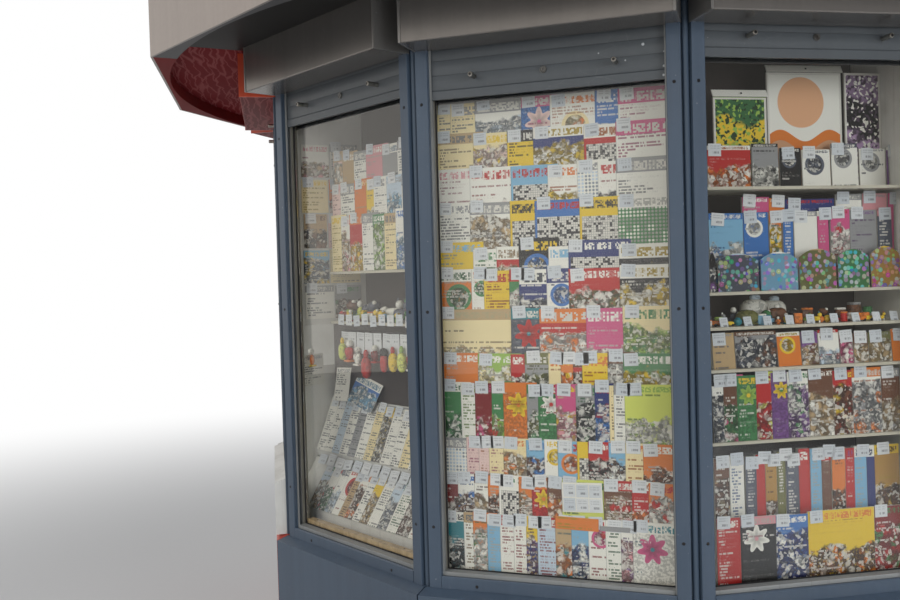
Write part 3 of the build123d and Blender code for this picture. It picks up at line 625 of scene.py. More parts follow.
def priceTagPaper(name):        # pale card with two faint lines and one darker bar
    look = tagLook
    material = startMaterial(name)
    x, y = printPlace()
    seed, wide = meshAttribute("coverSeed"), meshAttribute("coverWide")
    grain = whiteNoise(joinVector(stepIndex(x, look["markStep"]), seed, 1.7)) > 0.3
    inside = (x > look["margin"]) * (x < wide - look["margin"])
    small = maths("MAXIMUM", *(within(y, *line) for line in look["small"])) * inside * grain
    price = within(y, *look["price"]) * within(x / wide, *look["priceAcross"]) * grain
    colour = blend(small * 0.35, blend(seed, *look["tints"]), look["lines"])
    colour = blend(price * 0.6, colour, look["bar"])
    showSurface(principled({"Base Color": colour, "Roughness": look["rough"]}))
    return material


surfaces.update({"printed_cover": printedCover("printed_cover"), "tag_paper": priceTagPaper("tag_paper")})

# display colours are written as seen and turned into light values below
inks = {
    "white": (0.93, 0.92, 0.88), "cream": (0.93, 0.86, 0.66), "yellow": (0.90, 0.76, 0.20),
    "lemon": (0.84, 0.87, 0.42), "orange": (0.86, 0.48, 0.20), "red": (0.72, 0.17, 0.16),
    "maroon": (0.48, 0.14, 0.14), "rose": (0.84, 0.58, 0.60), "pink": (0.80, 0.34, 0.52),
    "purple": (0.47, 0.31, 0.54), "navy": (0.18, 0.22, 0.44), "blue": (0.24, 0.44, 0.70),
    "sky": (0.50, 0.70, 0.82), "teal": (0.18, 0.50, 0.54), "green": (0.26, 0.50, 0.30),
    "lime": (0.58, 0.72, 0.32), "olive": (0.44, 0.44, 0.26), "brown": (0.42, 0.28, 0.20),
    "sand": (0.74, 0.63, 0.47), "ochre": (0.68, 0.52, 0.26), "grey": (0.58, 0.58, 0.58),
    "slate": (0.33, 0.35, 0.40), "black": (0.12, 0.12, 0.13), "ice": (0.76, 0.82, 0.87),
    "blush": (0.90, 0.78, 0.75), "peach": (0.90, 0.68, 0.52), "lilac": (0.70, 0.58, 0.72),
}
inks = {name: np.power(seen, 2.2) for name, seen in inks.items()}


# a row is written as "left kind inkA inkB inkC, ...", lefts in millimetres along the facet and "picture" left out
#   wide = next left - left + overlap, the last one reaching the row's end
#   high = a draw between the two heights, foot and lean shared by the row
rowUsual = {"overlap": 0.030, "lean": 0.0, "tilt": 0.006, "thick": 0.0012, "swing": 0.008, "arch": 0.0,
            "band": 0.030, "bandShare": (0.85, 1.2)}


def layRow(row):
    row = {**rowUsual, **row}
    entries = [entry.split() for entry in row["covers"].split(",")]
    count = len(entries)
    left = np.array([float(entry[0]) for entry in entries]) / 1000
    ends = np.append(left[1:] + row["overlap"], row["end"])
    sheets = {key: row[key] for key in ("bottom", "foot", "lean", "thick", "swing", "arch")}
    sheets.update({
        "left": left, "wide": np.minimum(ends, row["end"]) - left, "high": random.uniform(*row["high"], count),
        "roll": random.normal(0, row["tilt"], count), "seed": random.uniform(0, 1, count),
        "kind": np.array([coverKinds.index(entry[1]) if len(entry) > 4 else 0 for entry in entries], float),
        "band": row["band"] * random.uniform(*row["bandShare"], count)})
    for key, place in (("inkA", -3), ("inkB", -2), ("inkC", -1)):
        sheets[key] = np.array([inks[entry[place]] for entry in entries])
    return evenOut(sheets)


# price tags: one on most covers, at their upper left corner and just in front of them
tag = {"wide": 0.037, "high": 0.034, "thick": 0.0004, "share": 0.86, "corner": 0.003, "stray": (-0.002, 0.005),
       "rise": (0.0, 0.010), "tilt": 0.04}


def tagsFor(sheets, ahead):
    keep = random.uniform(0, 1, len(sheets["left"])) < tag["share"]
    count = int(keep.sum())
    left, lean, under, tall, foot = (sheets[key][keep] for key in ("left", "lean", "bottom", "high", "foot"))
    left = left + tag["corner"] + random.uniform(*tag["stray"], count)
    bottom = under + tall * np.cos(lean) - tag["high"] + random.uniform(*tag["rise"], count)
    return {
        "left": left, "wide": tag["wide"], "bottom": bottom, "high": tag["high"], "lean": lean,
        "foot": foot - (bottom - under) * np.tan(lean) + ahead, "roll": random.normal(0, tag["tilt"], count),
        "thick": tag["thick"], "seed": random.uniform(0, 1, count)}


def addGoods(name, facet, rows, ahead):        # ahead: how far the tags' feet stand before the covers'
    laid = [layRow(row) for row in rows]
    addSheets(name, facet, joinSheets(laid), "printed_cover")
    tagged = [tagsFor(sheets, ahead) for sheets in laid]
    addSheets("_tags_".join(name.rsplit("_", 1)), facet, joinSheets(tagged), "tag_paper")


def plainSheet(left, wide, bottom, high, foot, kind, tints, lean=0.0, roll=0.0, thick=0.0012, band=0.0):
    sheet = {"left": left, "wide": wide, "bottom": bottom, "high": high, "foot": foot, "lean": lean, "roll": roll,
             "thick": thick, "seed": random.uniform(0, 1), "kind": float(coverKinds.index(kind)),
             "band": max(band, 0.001)}
    sheet.update({key: inks[tint] for key, tint in zip(("inkA", "inkB", "inkC"), tints.split())})
    return {key: np.array([value], float) for key, value in sheet.items()}


# magazine windows: twelve rows that step back up the leaning board, each with its level, the range of its
# heights and its covers
magazineRack = {"foot": 1.296, "footLevel": 0.819, "fall": 0.036, "ahead": 0.0090, "end": 0.312,
                "lowBand": 0.026, "highBand": 0.034, "highFrom": 1.25}
magazineRows = (
    (0.8235, (0.158, 0.163),
     "-330 teal white black, -269 lines white sand grey, -242 orange green white, -201 lines sky white navy, "
     "-164 lines white red sky, -126 lines white red grey, -90 yellow navy purple, -58 lines ice red blue, -8 "
     "sand teal orange, 36 sky white navy, 82 disc white red pink, 128 lines white green grey, 168 white purple "
     "rose, 199 petals white teal pink"),
    (0.9520, (0.136, 0.140),
     "-329 maroon white brown, -286 white blue brown, -238 white brown sand, -197 orange white brown, -166 "
     "puzzle white green black, -109 orange brown sand, -72 petals red orange yellow, -29 brown yellow orange, "
     "11 lines lemon green white, 124 brown red sand, 198 red white orange, 242 orange red white"),
    (1.0520, (0.138, 0.143),
     "-329 grid white grey ice, -258 lines blush pink rose, -223 lines blush orange white, -192 lines cream pink "
     "sand, -151 cream orange sand, -85 sky blue brown, -35 disc white yellow yellow, 2 disc sky red orange, 54 "
     "puzzle yellow yellow black, 85 red white black, 140 sky white brown, 183 lines cream orange sand, 230 "
     "orange white brown"),
    (1.1520, (0.190, 0.199),
     "-329 green white green, -271 lines white lime grey, -231 maroon pink red, -184 green red lime, -148 petals "
     "orange orange yellow, -82 grey green olive, -50 petals green red white, 0 pink yellow rose, 54 grey green "
     "black, 105 navy red blue, 143 lines cream sand brown, 155 lines white grey sky, 185 lemon lime white"),
    (1.2520, (0.172, 0.180),
     "-325 orange white sand, -221 lime white cream, -126 red white brown, -85 grey olive olive, -20 cream "
     "orange sand, 14 orange yellow orange, 48 red brown brown, 73 lines yellow orange red, 140 black brown "
     "white, 182 green white yellow"),
    (1.3520, (0.192, 0.200),
     "-328 cream sand cream, -124 petals slate teal red, -43 red orange white, 85 pink white rose, 184 cream "
     "green lime"),
    (1.4520, (0.202, 0.210),
     "-328 disc orange white green, -235 disc white orange green, -199 lines yellow red orange, -127 green red "
     "white, -99 navy white slate, -21 disc white navy blue, 40 red white olive, 177 black white yellow"),
    (1.5520, (0.162, 0.190),
     "-330 yellow sky white, -229 lines white green grey, -162 red white sand, -98 disc black yellow blue, -15 "
     "white sky red, 39 puzzle navy white yellow, 176 black white yellow"),
    (1.6520, (0.188, 0.196),
     "-330 lines white grey ice, -238 white grey sand, -121 puzzle yellow black green, -51 puzzle blue red "
     "white, 72 puzzle yellow black white, 175 grid green white white"),
    (1.7520, (0.184, 0.192),
     "-330 lines white rose ice, -236 white red blush, -117 puzzle sky red navy, -14 white orange yellow, 69 "
     "grid white grey ice, 124 white red slate, 172 lines white grey navy"),
    (1.8520, (0.184, 0.192),
     "-330 lines cream sand grey, -224 cream yellow blush, -126 lines yellow black white, -52 navy white yellow, "
     "88 puzzle red white orange, 173 lines white pink yellow"),
    (1.9520, (0.172, 0.178),
     "-330 lines cream grey sand, -291 lines cream grey sand, -217 white grey ice, -86 petals blue pink blush, "
     "-4 disc white orange cream, 118 lines blue white ice, 180 lines white pink rose"),
)
# a banner and a rail on the lowest row, and a sheet of six prices over the next: left, wide, bottom, high, foot,
# kind, inks, lean, roll and thickness
magazineSlips = ((-0.008, 0.118, 0.954, 0.034, 1.3075, "lines", "orange yellow red", 0.0, -0.02),
                 (0.113, 0.080, 0.956, 0.013, 1.3075, "plain", "grey slate slate", 0.0, 0.0, 0.004),
                 (0.013, 0.110, 1.002, 0.080, 1.3040, "plain", "white white grey", 0.0, 0.03))
priceSheet = {"across": (0.017, 0.052, 0.087), "up": (1.005, 1.043), "foot": 1.3049, "roll": 0.03,
              "wide": 0.032, "high": 0.034, "thick": 0.0004}


def magazineRow(level, high, covers):        # the leaning board falls back by a fixed share of its height
    rack = magazineRack
    foot = rack["foot"] - (level - rack["footLevel"]) * rack["fall"] + rack["ahead"]
    band = rack["lowBand"] if level < rack["highFrom"] else rack["highBand"]
    return {"bottom": level, "high": high, "foot": foot, "end": rack["end"], "covers": covers, "band": band}


for facet in plan["magazineFacets"]:
    addGoods(f"magazines_{facet}", facet, [magazineRow(*row) for row in magazineRows], ahead=0.0012)
    addSheets(f"slips_{facet}", facet, joinSheets([plainSheet(*slip) for slip in magazineSlips]), "printed_cover")
    across, up = np.meshgrid(priceSheet["across"], priceSheet["up"])
    prices = {key: priceSheet[key] for key in ("foot", "roll", "wide", "high", "thick")}
    prices.update({"left": across.ravel(), "bottom": up.ravel(), "seed": random.uniform(0, 1, across.size)})
    addSheets(f"prices_{facet}", facet, prices, "tag_paper")
print("stage: magazines in place")


# shelf windows: albums, books, bags, cards and boards, each standing on its shelf
shelfRows = (
    {"bottom": 0.7980, "high": (0.186, 0.192), "foot": 1.285, "end": 0.272, "overlap": 0.0, "thick": 0.004,
     "lean": 0.02, "band": 0.024, "swing": 0.0, "covers":
     "-270 lines red white maroon, -203 petals black rose white, -101 blue white navy, -7 yellow orange brown, "
     "190 maroon green red"},
    {"bottom": 0.7980, "high": (0.338, 0.352), "foot": 1.244, "end": 0.303, "overlap": -0.001, "thick": 0.014,
     "lean": 0.02, "band": 0.030, "swing": 0.0, "covers":
     "-250 brown sand brown, -206 lines white blue sky, -164 lines slate blue sky, -131 plain red white red, "
     "-103 ochre brown brown, -69 lines olive grey slate, -44 lines slate purple grey, -4 plain red white red, "
     "30 lines sky white blue, 64 brown red red, 93 orange black brown, 134 red purple purple, 163 lines sky "
     "white blue, 201 plain navy white navy, 227 ochre yellow brown"},
    {"bottom": 1.1865, "high": (0.172, 0.181), "foot": 1.265, "end": 0.290, "overlap": 0.020, "thick": 0.002,
     "lean": 0.05, "band": 0.024, "covers":
     "-262 white black slate, -232 brown pink green, -194 petals green yellow lime, -139 red lemon red, -94 "
     "petals purple green yellow, -47 white green purple, 15 brown white sand, 88 red yellow brown, 146 white "
     "orange grey, 233 brown grey sand"},
    {"bottom": 1.3785, "high": (0.074, 0.098), "foot": 1.256, "end": 0.300, "overlap": -0.002, "thick": 0.016,
     "lean": 0.12, "band": 0.010, "swing": 0.0, "covers":
     "-255 lines sand grey brown, -190 grey brown slate, -68 disc orange white yellow, 2 purple brown sand, 53 "
     "white red ice, 116 blush white pink, 157 brown white sand, 203 olive grey sand, 273 plain orange white red"},
    {"bottom": 1.5825, "high": (0.205, 0.216), "foot": 1.228, "end": 0.300, "overlap": -0.003, "thick": 0.008,
     "lean": 0.03, "band": 0.014, "swing": 0.0, "covers":
     "-246 sky blue white, -145 disc blue white white, -69 orange teal yellow, -31 lines blue white sky, 2 plain "
     "white grey white, 74 pink white rose, 110 pink red white, 171 lines grey purple white, 256 lines slate "
     "rose grey"},
    {"bottom": 1.5825, "high": (0.244, 0.262), "foot": 1.214, "end": 0.312, "overlap": -0.002, "thick": 0.006,
     "lean": 0.01, "band": 0.014, "swing": 0.0, "covers":
     "-143 lines pink white white, -62 plain orange white orange, -15 lines navy red blue, 135 lines white grey "
     "ice, 216 plain rose grey grey, 294 plain pink white pink"},
    {"bottom": 1.8585, "high": (0.104, 0.124), "foot": 1.200, "end": 0.310, "overlap": -0.004, "thick": 0.004,
     "lean": 0.04, "band": 0.010, "swing": 0.0, "covers":
     "-233 red white orange, -103 grey black white, -21 disc black white slate, 46 disc white slate slate, 135 "
     "disc white slate grey, 220 disc white slate grey, 304 plain purple white purple"},
)
# rounded cards on the shelf below the top one, and framed boards on the top one: left, wide, bottom, high, foot,
# kind and inks
archedRow = {"bottom": 1.5825, "high": (0.100, 0.112), "foot": 1.264, "end": 0.296, "overlap": -0.006,
             "lean": 0.05, "thick": 0.001, "arch": 0.20, "band": 0.004, "swing": 0.0, "covers":
             "-264 black purple slate, -241 beads slate ice navy, -119 beads sky white blue, -6 beads olive sand "
             "brown, 108 beads green lime teal, 206 beads ochre yellow brown"}
boardSheets = ((-0.199, 0.157, 1.8585, 0.252, 1.174, "board", "lime yellow green"),
               (-0.037, 0.226, 1.8585, 0.322, 1.170, "scene", "white orange peach"),
               (0.196, 0.112, 1.8585, 0.322, 1.174, "board", "white black lilac"))
boardStand = {"lean": 0.02, "thick": 0.005}
# folded card over a bagged board, and small tags before the toys
bagHead = {"high": 0.022, "over": 0.003, "lean": 0.45, "thick": 0.0016, "rise": 0.001, "ahead": 0.001, "hole": 0.005,
           "holeUp": 0.008}
toyTags = {"end": 0.300, "count": 10, "wide": 0.023, "high": 0.026, "foot": 1.262, "bottom": 1.4905, "lean": 0.35,
           "thick": 0.0005, "stray": 0.013, "tilt": 0.05}


def bagTop(left, wide, bottom, high, foot):        # the card and the black spot of its hole
    over, hole, top = bagHead["over"], bagHead["hole"], bottom + high
    return [plainSheet(left - over, wide + 2 * over, top + bagHead["rise"], bagHead["high"], foot, "plain",
                       "white white white", bagHead["lean"], 0.0, bagHead["thick"]),
            plainSheet(left + wide / 2, hole, top + bagHead["holeUp"], hole, foot + bagHead["ahead"], "plain",
                       "black black black", bagHead["lean"])]


for facet in plan["shelfFacets"]:
    addGoods(f"shelf_goods_{facet}", facet, shelfRows, ahead=0.0022)
    count, end = toyTags["count"], toyTags["end"]
    stood = {key: toyTags[key] for key in ("wide", "high", "foot", "bottom", "lean", "thick")}
    stood["left"] = np.linspace(-end, end - toyTags["wide"], count) + random.normal(0, toyTags["stray"], count)
    stood.update({"roll": random.normal(0, toyTags["tilt"], count), "seed": random.uniform(0, 1, count)})
    addSheets(f"toy_tags_{facet}", facet, stood, "tag_paper")
    addSheets(f"round_cards_{facet}", facet, layRow(archedRow), "printed_cover", arched=True)
    boards = [plainSheet(*sheet, **boardStand) for sheet in boardSheets]
    for sheet in boardSheets[:2]:
        boards += bagTop(*sheet[:5])
    addSheets(f"boards_{facet}", facet, joinSheets(boards), "printed_cover")
print("stage: shelves filled")


# newspaper windows: two leaning tiers of papers, rows of covers over them
newsRows = (
    {"bottom": 0.8590, "high": (0.160, 0.166), "foot": 1.2625, "end": 0.290, "lean": 0.594, "overlap": 0.060,
     "tilt": 0.004, "band": 0.026, "swing": 0.010, "covers":
     "-400 ice green sand, -350 white red green, -300 white slate ice, -255 disc white red red, -215 lines sand "
     "brown grey, -180 white orange brown, -135 lines white slate red, -95 yellow black sand, -50 lines white "
     "grey green, 0 ice slate grey, 50 lines white green white, 100 white grey brown, 160 lines white red grey, "
     "220 lines cream grey sand"},
    {"bottom": 1.0325, "high": (0.186, 0.196), "foot": 1.1620, "end": 0.272, "lean": 0.401, "overlap": 0.060,
     "tilt": 0.004, "band": 0.020, "swing": 0.010, "covers":
     "-490 lines white grey grey, -440 lines white black grey, -395 lines ice grey slate, -350 lines white slate "
     "grey, -300 lines grey slate white, -255 lines white grey slate, -205 lines cream grey grey, -160 yellow "
     "black grey, -110 lines white grey ice, -60 lines white slate grey, -10 lines cream grey grey, 40 lines "
     "white black grey, 90 lines ice grey slate, 150 lines white grey grey, 210 lines white slate grey"},
    {"bottom": 1.6690, "high": (0.172, 0.190), "foot": 1.196, "end": 0.280, "covers":
     "-300 lines cream yellow sand, -240 white rose sand, -190 red orange yellow, -120 lines white grey ice, -60 "
     "green white lime, 0 lines cream sand grey, 60 white blue sky, 130 lines white yellow sand, 200 blush rose "
     "sand"},
    {"bottom": 1.6690, "high": (0.282, 0.300), "foot": 1.188, "end": 0.280, "covers":
     "-300 lines blush rose sand, -250 lines white grey ice, -168 orange cream sand, -100 yellow sand white, -62 "
     "lines white grey ice, 11 ice grey sky, 82 lines white slate grey, 160 white sand blush, 220 lines white "
     "grey grey"},
    {"bottom": 1.6690, "high": (0.392, 0.410), "foot": 1.180, "end": 0.280, "covers":
     "-300 blush sand white, -241 sand white yellow, -180 lines white grey ice, -110 rose white sand, -19 grey "
     "white ice, 61 lines white grey slate, 130 cream sand white, 200 lines white grey ice"},
)
shortRack = -0.285        # where rows begin in the windows whose rack isn't long
hangingToys = {"along": (-0.279, -0.236, -0.190, -0.143, -0.092, -0.045, 0.004, 0.050, 0.105, 0.155, 0.210),
               "out": 1.180}
# cards along the ledge between the tiers, cards behind the hanging toys, and tags along the toy shelf's edge
ledgeCards = {"from": -0.455, "to": 0.230, "apart": 0.052, "bottom": 0.990, "wide": 0.046, "high": (0.034, 0.042),
              "foot": 1.1820, "lean": 0.50, "thick": 0.0005, "tilt": 0.05}
backingCards = {"bottom": 1.392, "wide": 0.044, "high": 0.071, "foot": 1.1680, "lean": 0.0, "thick": 0.0005,
                "tilt": 0.03}
edgeTags = {"from": -0.268, "to": 0.235, "apart": 0.046, "bottom": (1.484, 1.494), "wide": 0.034, "high": 0.036,
            "foot": 1.2010, "lean": 0.0, "thick": 0.0004, "tilt": 0.07}


def cardRow(cards, left):        # a pair of numbers is a range to draw from
    row = {"left": left}
    for key in ("bottom", "wide", "high", "foot", "lean", "thick"):
        row[key] = random.uniform(*cards[key], len(left)) if isinstance(cards[key], tuple) else cards[key]
    row.update({"roll": random.normal(0, cards["tilt"], len(left)), "seed": random.uniform(0, 1, len(left))})
    return row


def newsGoods(facet):
    rows, begin = newsRows, ledgeCards["from"]
    if facet != plan["longFacet"]:
        begin = shortRack
        kept = [[part for part in row["covers"].split(",") if float(part.split()[0]) / 1000 >= begin] for row in rows]
        rows = [{**row, "covers": ",".join(parts)} for row, parts in zip(rows, kept)]
    addGoods(f"papers_{facet}", facet, rows, ahead=0.0012)
    cards = [cardRow(ledgeCards, np.arange(begin, ledgeCards["to"], ledgeCards["apart"])),
             cardRow(backingCards, np.array(hangingToys["along"]) - backingCards["wide"] / 2),
             cardRow(edgeTags, np.arange(edgeTags["from"], edgeTags["to"], edgeTags["apart"]))]
    addSheets(f"cards_{facet}", facet, joinSheets(cards), "tag_paper")


for facet in plan["newsFacets"]:
    newsGoods(facet)

# covers pinned to the side board at the left of each newspaper window: a plane through the axis, a quarter
# turn on from the corner, where along is minus the distance from the axis
sidePapers = {"high": (0.108, 0.116), "foot": 0.0062, "end": -1.128, "swing": 0.0, "overlap": -0.004, "band": 0.024}
sideRows = (
    (1.5100, "-1328 lines white grey ice, -1222 grey green brown"),
    (1.6300, "-1330 sky yellow slate, -1236 lines cream sand grey"),
    (1.7500, "-1326 sand brown black, -1240 lines blush rose sand"),
    (1.8700, "-1330 lines cream yellow sand, -1232 orange white red"),
    (1.9900, "-1328 white rose sand, -1226 lines white grey ice"),
)
for facet in plan["newsFacets"]:
    rows = [{**sidePapers, "bottom": level, "covers": covers} for level, covers in sideRows]
    addGoods(f"side_papers_{facet}", facet - 0.5 + plan["facets"] / 4, rows, ahead=0.0014)

# at the left end of the long rack: a magazine on the papers' upper edge and a pale sheet on the end board,
# and a notice on the board's other face, a plane a quarter turn on from the window
endSheets = ((-0.380, 0.165, 1.196, 0.105, 1.1080, "picture", "blue white sky", 0.40, -0.22, 0.0012, 0.03),
             (-0.470, 0.090, 1.205, 0.120, 1.0960, "lines", "white grey grey", 0.20, 0.05, 0.0012, 0.02))
endNotice = (-1.216, 0.100, 1.262, 0.112, -0.4966, "lines", "white grey ice", 0.0, 0.03, 0.0012, 0.02)
addSheets("end_sheets", plan["longFacet"], joinSheets([plainSheet(*sheet) for sheet in endSheets]), "printed_cover")
addSheets("end_notice", plan["longFacet"] + plan["facets"] / 4, plainSheet(*endNotice), "printed_cover")
print("stage: papers laid out")


# small goods, built of rounded parts, a superellipsoid each
#   x = a sgn(cos v) |cos v|^e sgn(cos u) |cos u|^e and so on, turned about the vertical and set in its place
blobGrid = {"round": 12, "levels": 7}


def signedPower(value, exponent):
    return np.sign(value)[None] * np.abs(value)[None] ** exponent[:, None]


def turnedRound(x, y, turn):
    return x * np.cos(turn) - y * np.sin(turn), x * np.sin(turn) + y * np.cos(turn)


def blobMesh(blobs):
    u = np.arange(blobGrid["round"]) / blobGrid["round"] * 2 * np.pi
    v = np.linspace(-np.pi / 2, np.pi / 2, blobGrid["levels"] + 2)[1:-1]
    size, centre, turn, square = (np.asarray(blobs[key], float) for key in ("size", "centre", "turn", "square"))
    cosV, sinV, cosU, sinU = (signedPower(value, square) for value in (np.cos(v), np.sin(v), np.cos(u), np.sin(u)))
    x = cosV[:, :, None] * cosU[:, None, :] * size[:, 0, None, None]
    y = cosV[:, :, None] * sinU[:, None, :] * size[:, 1, None, None]
    z = np.repeat(sinV[:, :, None], len(u), 2) * size[:, 2, None, None]
    body = np.stack([x, y, z], axis=-1).reshape(len(size), -1, 3)
    poles = np.stack([size * (0, 0, sign) for sign in (-1, 1)], axis=1)
    shape = np.concatenate([body, poles], axis=1)
    turned = turnedRound(shape[..., 0], shape[..., 1], turn[:, None])
    points = np.stack([*turned, shape[..., 2]], axis=-1) + centre[:, None]
    index = np.arange(len(v) * len(u)).reshape(len(v), len(u))
    after = np.roll(index, -1, axis=1)
    quads = np.stack([index[:-1], after[:-1], after[1:], index[1:]], axis=-1).reshape(-1, 4)
    foot = np.stack([np.full(len(u), index.size), after[0], index[0]], axis=-1)
    crown = np.stack([np.full(len(u), index.size + 1), index[-1], after[-1]], axis=-1)
    return points, repeatFaces(quads, np.concatenate([foot, crown]), points.shape[1], len(size))


# the faces of one shape, repeated for each copy with the point numbers moved on by the shape's own count
def repeatFaces(quads, triangles, step, count):
    shift = (np.arange(count) * step)[:, None, None]
    return (quads[None] + shift).reshape(-1, 4).tolist() + (triangles[None] + shift).reshape(-1, 3).tolist()


toyLook = {"patches": (70, 2, 0.5, 0.8), "rough": 0.25, "coat": 0.3,
           "shade": 0.6,        # the patches' ink, as a share of the part's own
           "stray": 0.008, "turn": 0.6}


def toyPlastic(name):
    material = startMaterial(name)
    patch = remap(noise(objectPlace(), *toyLook["patches"]), 0.56, 0.60)
    colour = blend(patch, meshAttribute("inkA", "Color"), meshAttribute("inkB", "Color"))
    showSurface(principled({"Base Color": colour, "Roughness": toyLook["rough"], "Coat Weight": toyLook["coat"]}))
    return material


surfaces["toy_plastic"] = toyPlastic("toy_plastic")

# each toy is a few parts: along, out and up of the part's middle, its three half sizes, squareness and ink;
# places and sizes are shares of the toy's height, inks 0 and 1 are the toy's own, 2 is white and 3 black
toyShapes = {
    "figure": ((0, 0, 0.06, 0.26, 0.22, 0.06, 0.5, 1), (0, 0, 0.38, 0.20, 0.16, 0.30, 0.8, 0),
               (0, 0, 0.82, 0.17, 0.17, 0.18, 1.0, 2), (0.2, 0.04, 0.46, 0.08, 0.08, 0.18, 0.9, 0),
               (-0.2, 0.04, 0.46, 0.08, 0.08, 0.18, 0.9, 0)),
    "animal": ((0, 0, 0.40, 0.42, 0.22, 0.22, 0.9, 0), (0.38, 0, 0.74, 0.20, 0.18, 0.20, 1.0, 0),
               (0.28, 0.08, 0.12, 0.09, 0.09, 0.14, 0.7, 2), (-0.28, 0.08, 0.12, 0.09, 0.09, 0.14, 0.7, 2),
               (0.30, 0, 0.96, 0.06, 0.04, 0.10, 0.9, 1)),
    "car": ((0, 0, 0.34, 0.70, 0.34, 0.22, 0.4, 0), (-0.05, 0, 0.70, 0.38, 0.28, 0.20, 0.5, 1),
            (0.42, 0.30, 0.15, 0.15, 0.08, 0.15, 0.9, 3), (-0.42, 0.30, 0.15, 0.15, 0.08, 0.15, 0.9, 3)),
    "pot": ((0, 0, 0.24, 0.26, 0.26, 0.24, 0.5, 0), (0, 0, 0.70, 0.34, 0.32, 0.26, 1.0, 1),
            (0.16, 0.1, 0.86, 0.12, 0.12, 0.12, 1.0, 2)),
    "ball": ((0, 0, 0.5, 0.5, 0.5, 0.5, 1.0, 0),),
    "box": ((0, 0, 0.44, 0.36, 0.24, 0.44, 0.3, 0), (0, 0, 0.90, 0.37, 0.25, 0.08, 0.4, 1)),
    "cap": ((0, 0, 0.5, 0.75, 0.70, 0.5, 0.9, 0), (0, 0.55, 0.12, 0.45, 0.40, 0.05, 0.8, 0)),
    "bag": ((0, 0, 0.42, 0.50, 0.30, 0.42, 0.7, 0), (0.05, 0, 0.88, 0.20, 0.12, 0.12, 0.8, 1)),
    "drop": ((0, 0, 0.38, 0.23, 0.15, 0.38, 0.85, 0), (0, 0, 0.84, 0.10, 0.08, 0.16, 0.9, 1)),
    "wand": ((0, 0, 0.38, 0.20, 0.12, 0.38, 0.8, 0), (0, 0, 0.82, 0.24, 0.13, 0.18, 1.0, 1)),
}


def placeToy(shape, along, out, level, height, turn, tints):
    parts = np.array(toyShapes[shape])
    tints = np.array([inks[name] for name in tints.split() + ["white", "black"]])[parts[:, 7].astype(int)]
    x, y, z = (parts[:, :3] * height).T
    centre = np.stack([along + x * math.cos(turn), out + y + x * math.sin(turn), level + z], 1)
    return {"size": parts[:, 3:6] * height, "centre": centre, "turn": np.full(len(parts), turn),
            "square": parts[:, 6], "inkA": tints, "inkB": tints * toyLook["shade"]}


def drawToys(row):        # toys drawn from the row's shapes and colours, side by side along the shelf
    toys, along, stray, turn = [], row["from"], toyLook["stray"], toyLook["turn"]
    while along < row["to"]:
        height = random.uniform(*row["height"])
        tints = " ".join(random.choice(row["palette"].split(), 2))
        shape = str(random.choice(row["shapes"].split()))
        toys.append((shape, along, row["out"] + random.uniform(-stray, stray), row["level"], height,
                     random.uniform(-turn, turn), tints))
        along += random.uniform(*row["apart"])
    return toys


toyRows = {
    "shelf": ({"from": -0.255, "to": 0.262, "out": 1.240, "level": 1.490, "height": (0.018, 0.032),
               "apart": (0.018, 0.030), "palette": "red white lime orange teal black sky yellow",
               "shapes": "figure animal car ball box"},
              {"from": -0.250, "to": 0.260, "out": 1.200, "level": 1.490, "height": (0.034, 0.055),
               "apart": (0.034, 0.052), "palette": "slate orange white green black brown grey",
               "shapes": "figure animal box bag pot"}),
    "news": ({"from": -0.262, "to": 0.262, "out": 1.182, "level": 1.500, "height": (0.026, 0.045),
              "apart": (0.024, 0.036), "palette": "yellow green white red lime orange sky",
              "shapes": "figure animal pot ball box"},
             {"from": -0.258, "to": 0.258, "out": 1.148, "level": 1.500, "height": (0.045, 0.075),
              "apart": (0.036, 0.052), "palette": "green white brown red lemon slate",
              "shapes": "figure pot box bag animal"}),
}
# single toys on the shelf: shape, along, out, level, height, turn and inks
shelfToys = [("cap", -0.140, 1.222, 1.490, 0.042, 0.2, "olive olive"),
             ("bag", -0.080, 1.150, 1.490, 0.080, 0.0, "white ice"),
             ("bag", -0.020, 1.146, 1.490, 0.074, 0.3, "white ice")]
# shape, level, height and inks of the hanging toys, from left to right
hungToys = (("drop", 1.366, 0.078, "lemon yellow"), ("figure", 1.362, 0.076, "red orange"),
            ("figure", 1.352, 0.064, "white white"), ("drop", 1.312, 0.096, "red red"),
            ("figure", 1.366, 0.060, "maroon red"), ("wand", 1.338, 0.080, "red black"),
            ("drop", 1.342, 0.082, "yellow red"), ("drop", 1.344, 0.084, "lemon lime"),
            ("figure", 1.350, 0.080, "red white"), ("drop", 1.352, 0.076, "green yellow"),
            ("wand", 1.346, 0.084, "yellow red"))
farToy = ("figure", -0.502, 1.165, 1.330, 0.066, 0.0, "orange yellow")        # hangs at the long rack's far end


def addToys(facet, rows, others):
    toys = [toy for row in rows for toy in drawToys(row)] + others
    placed = [placeToy(*toy) for toy in toys]
    blobs = {key: np.concatenate([toy[key] for toy in placed]) for key in placed[0]}
    points, faces = blobMesh(blobs)
    mesh = addPiece(f"toys_{facet}", facet, points, faces, "toy_plastic", "white_board", smooth=True)
    for key in ("inkA", "inkB"):
        storeOnPoints(mesh, key, blobs[key], points.shape[1])


for facet in plan["shelfFacets"]:
    addToys(facet, toyRows["shelf"], shelfToys)
for facet in plan["newsFacets"]:
    hung = [(shape, along, hangingToys["out"], level, height, 0.0, tints)
            for along, (shape, level, height, tints) in zip(hangingToys["along"], hungToys)]
    if facet == plan["longFacet"]:
        hung.append(farToy)
    addToys(facet, toyRows["news"], hung)
print("stage: small goods set out")
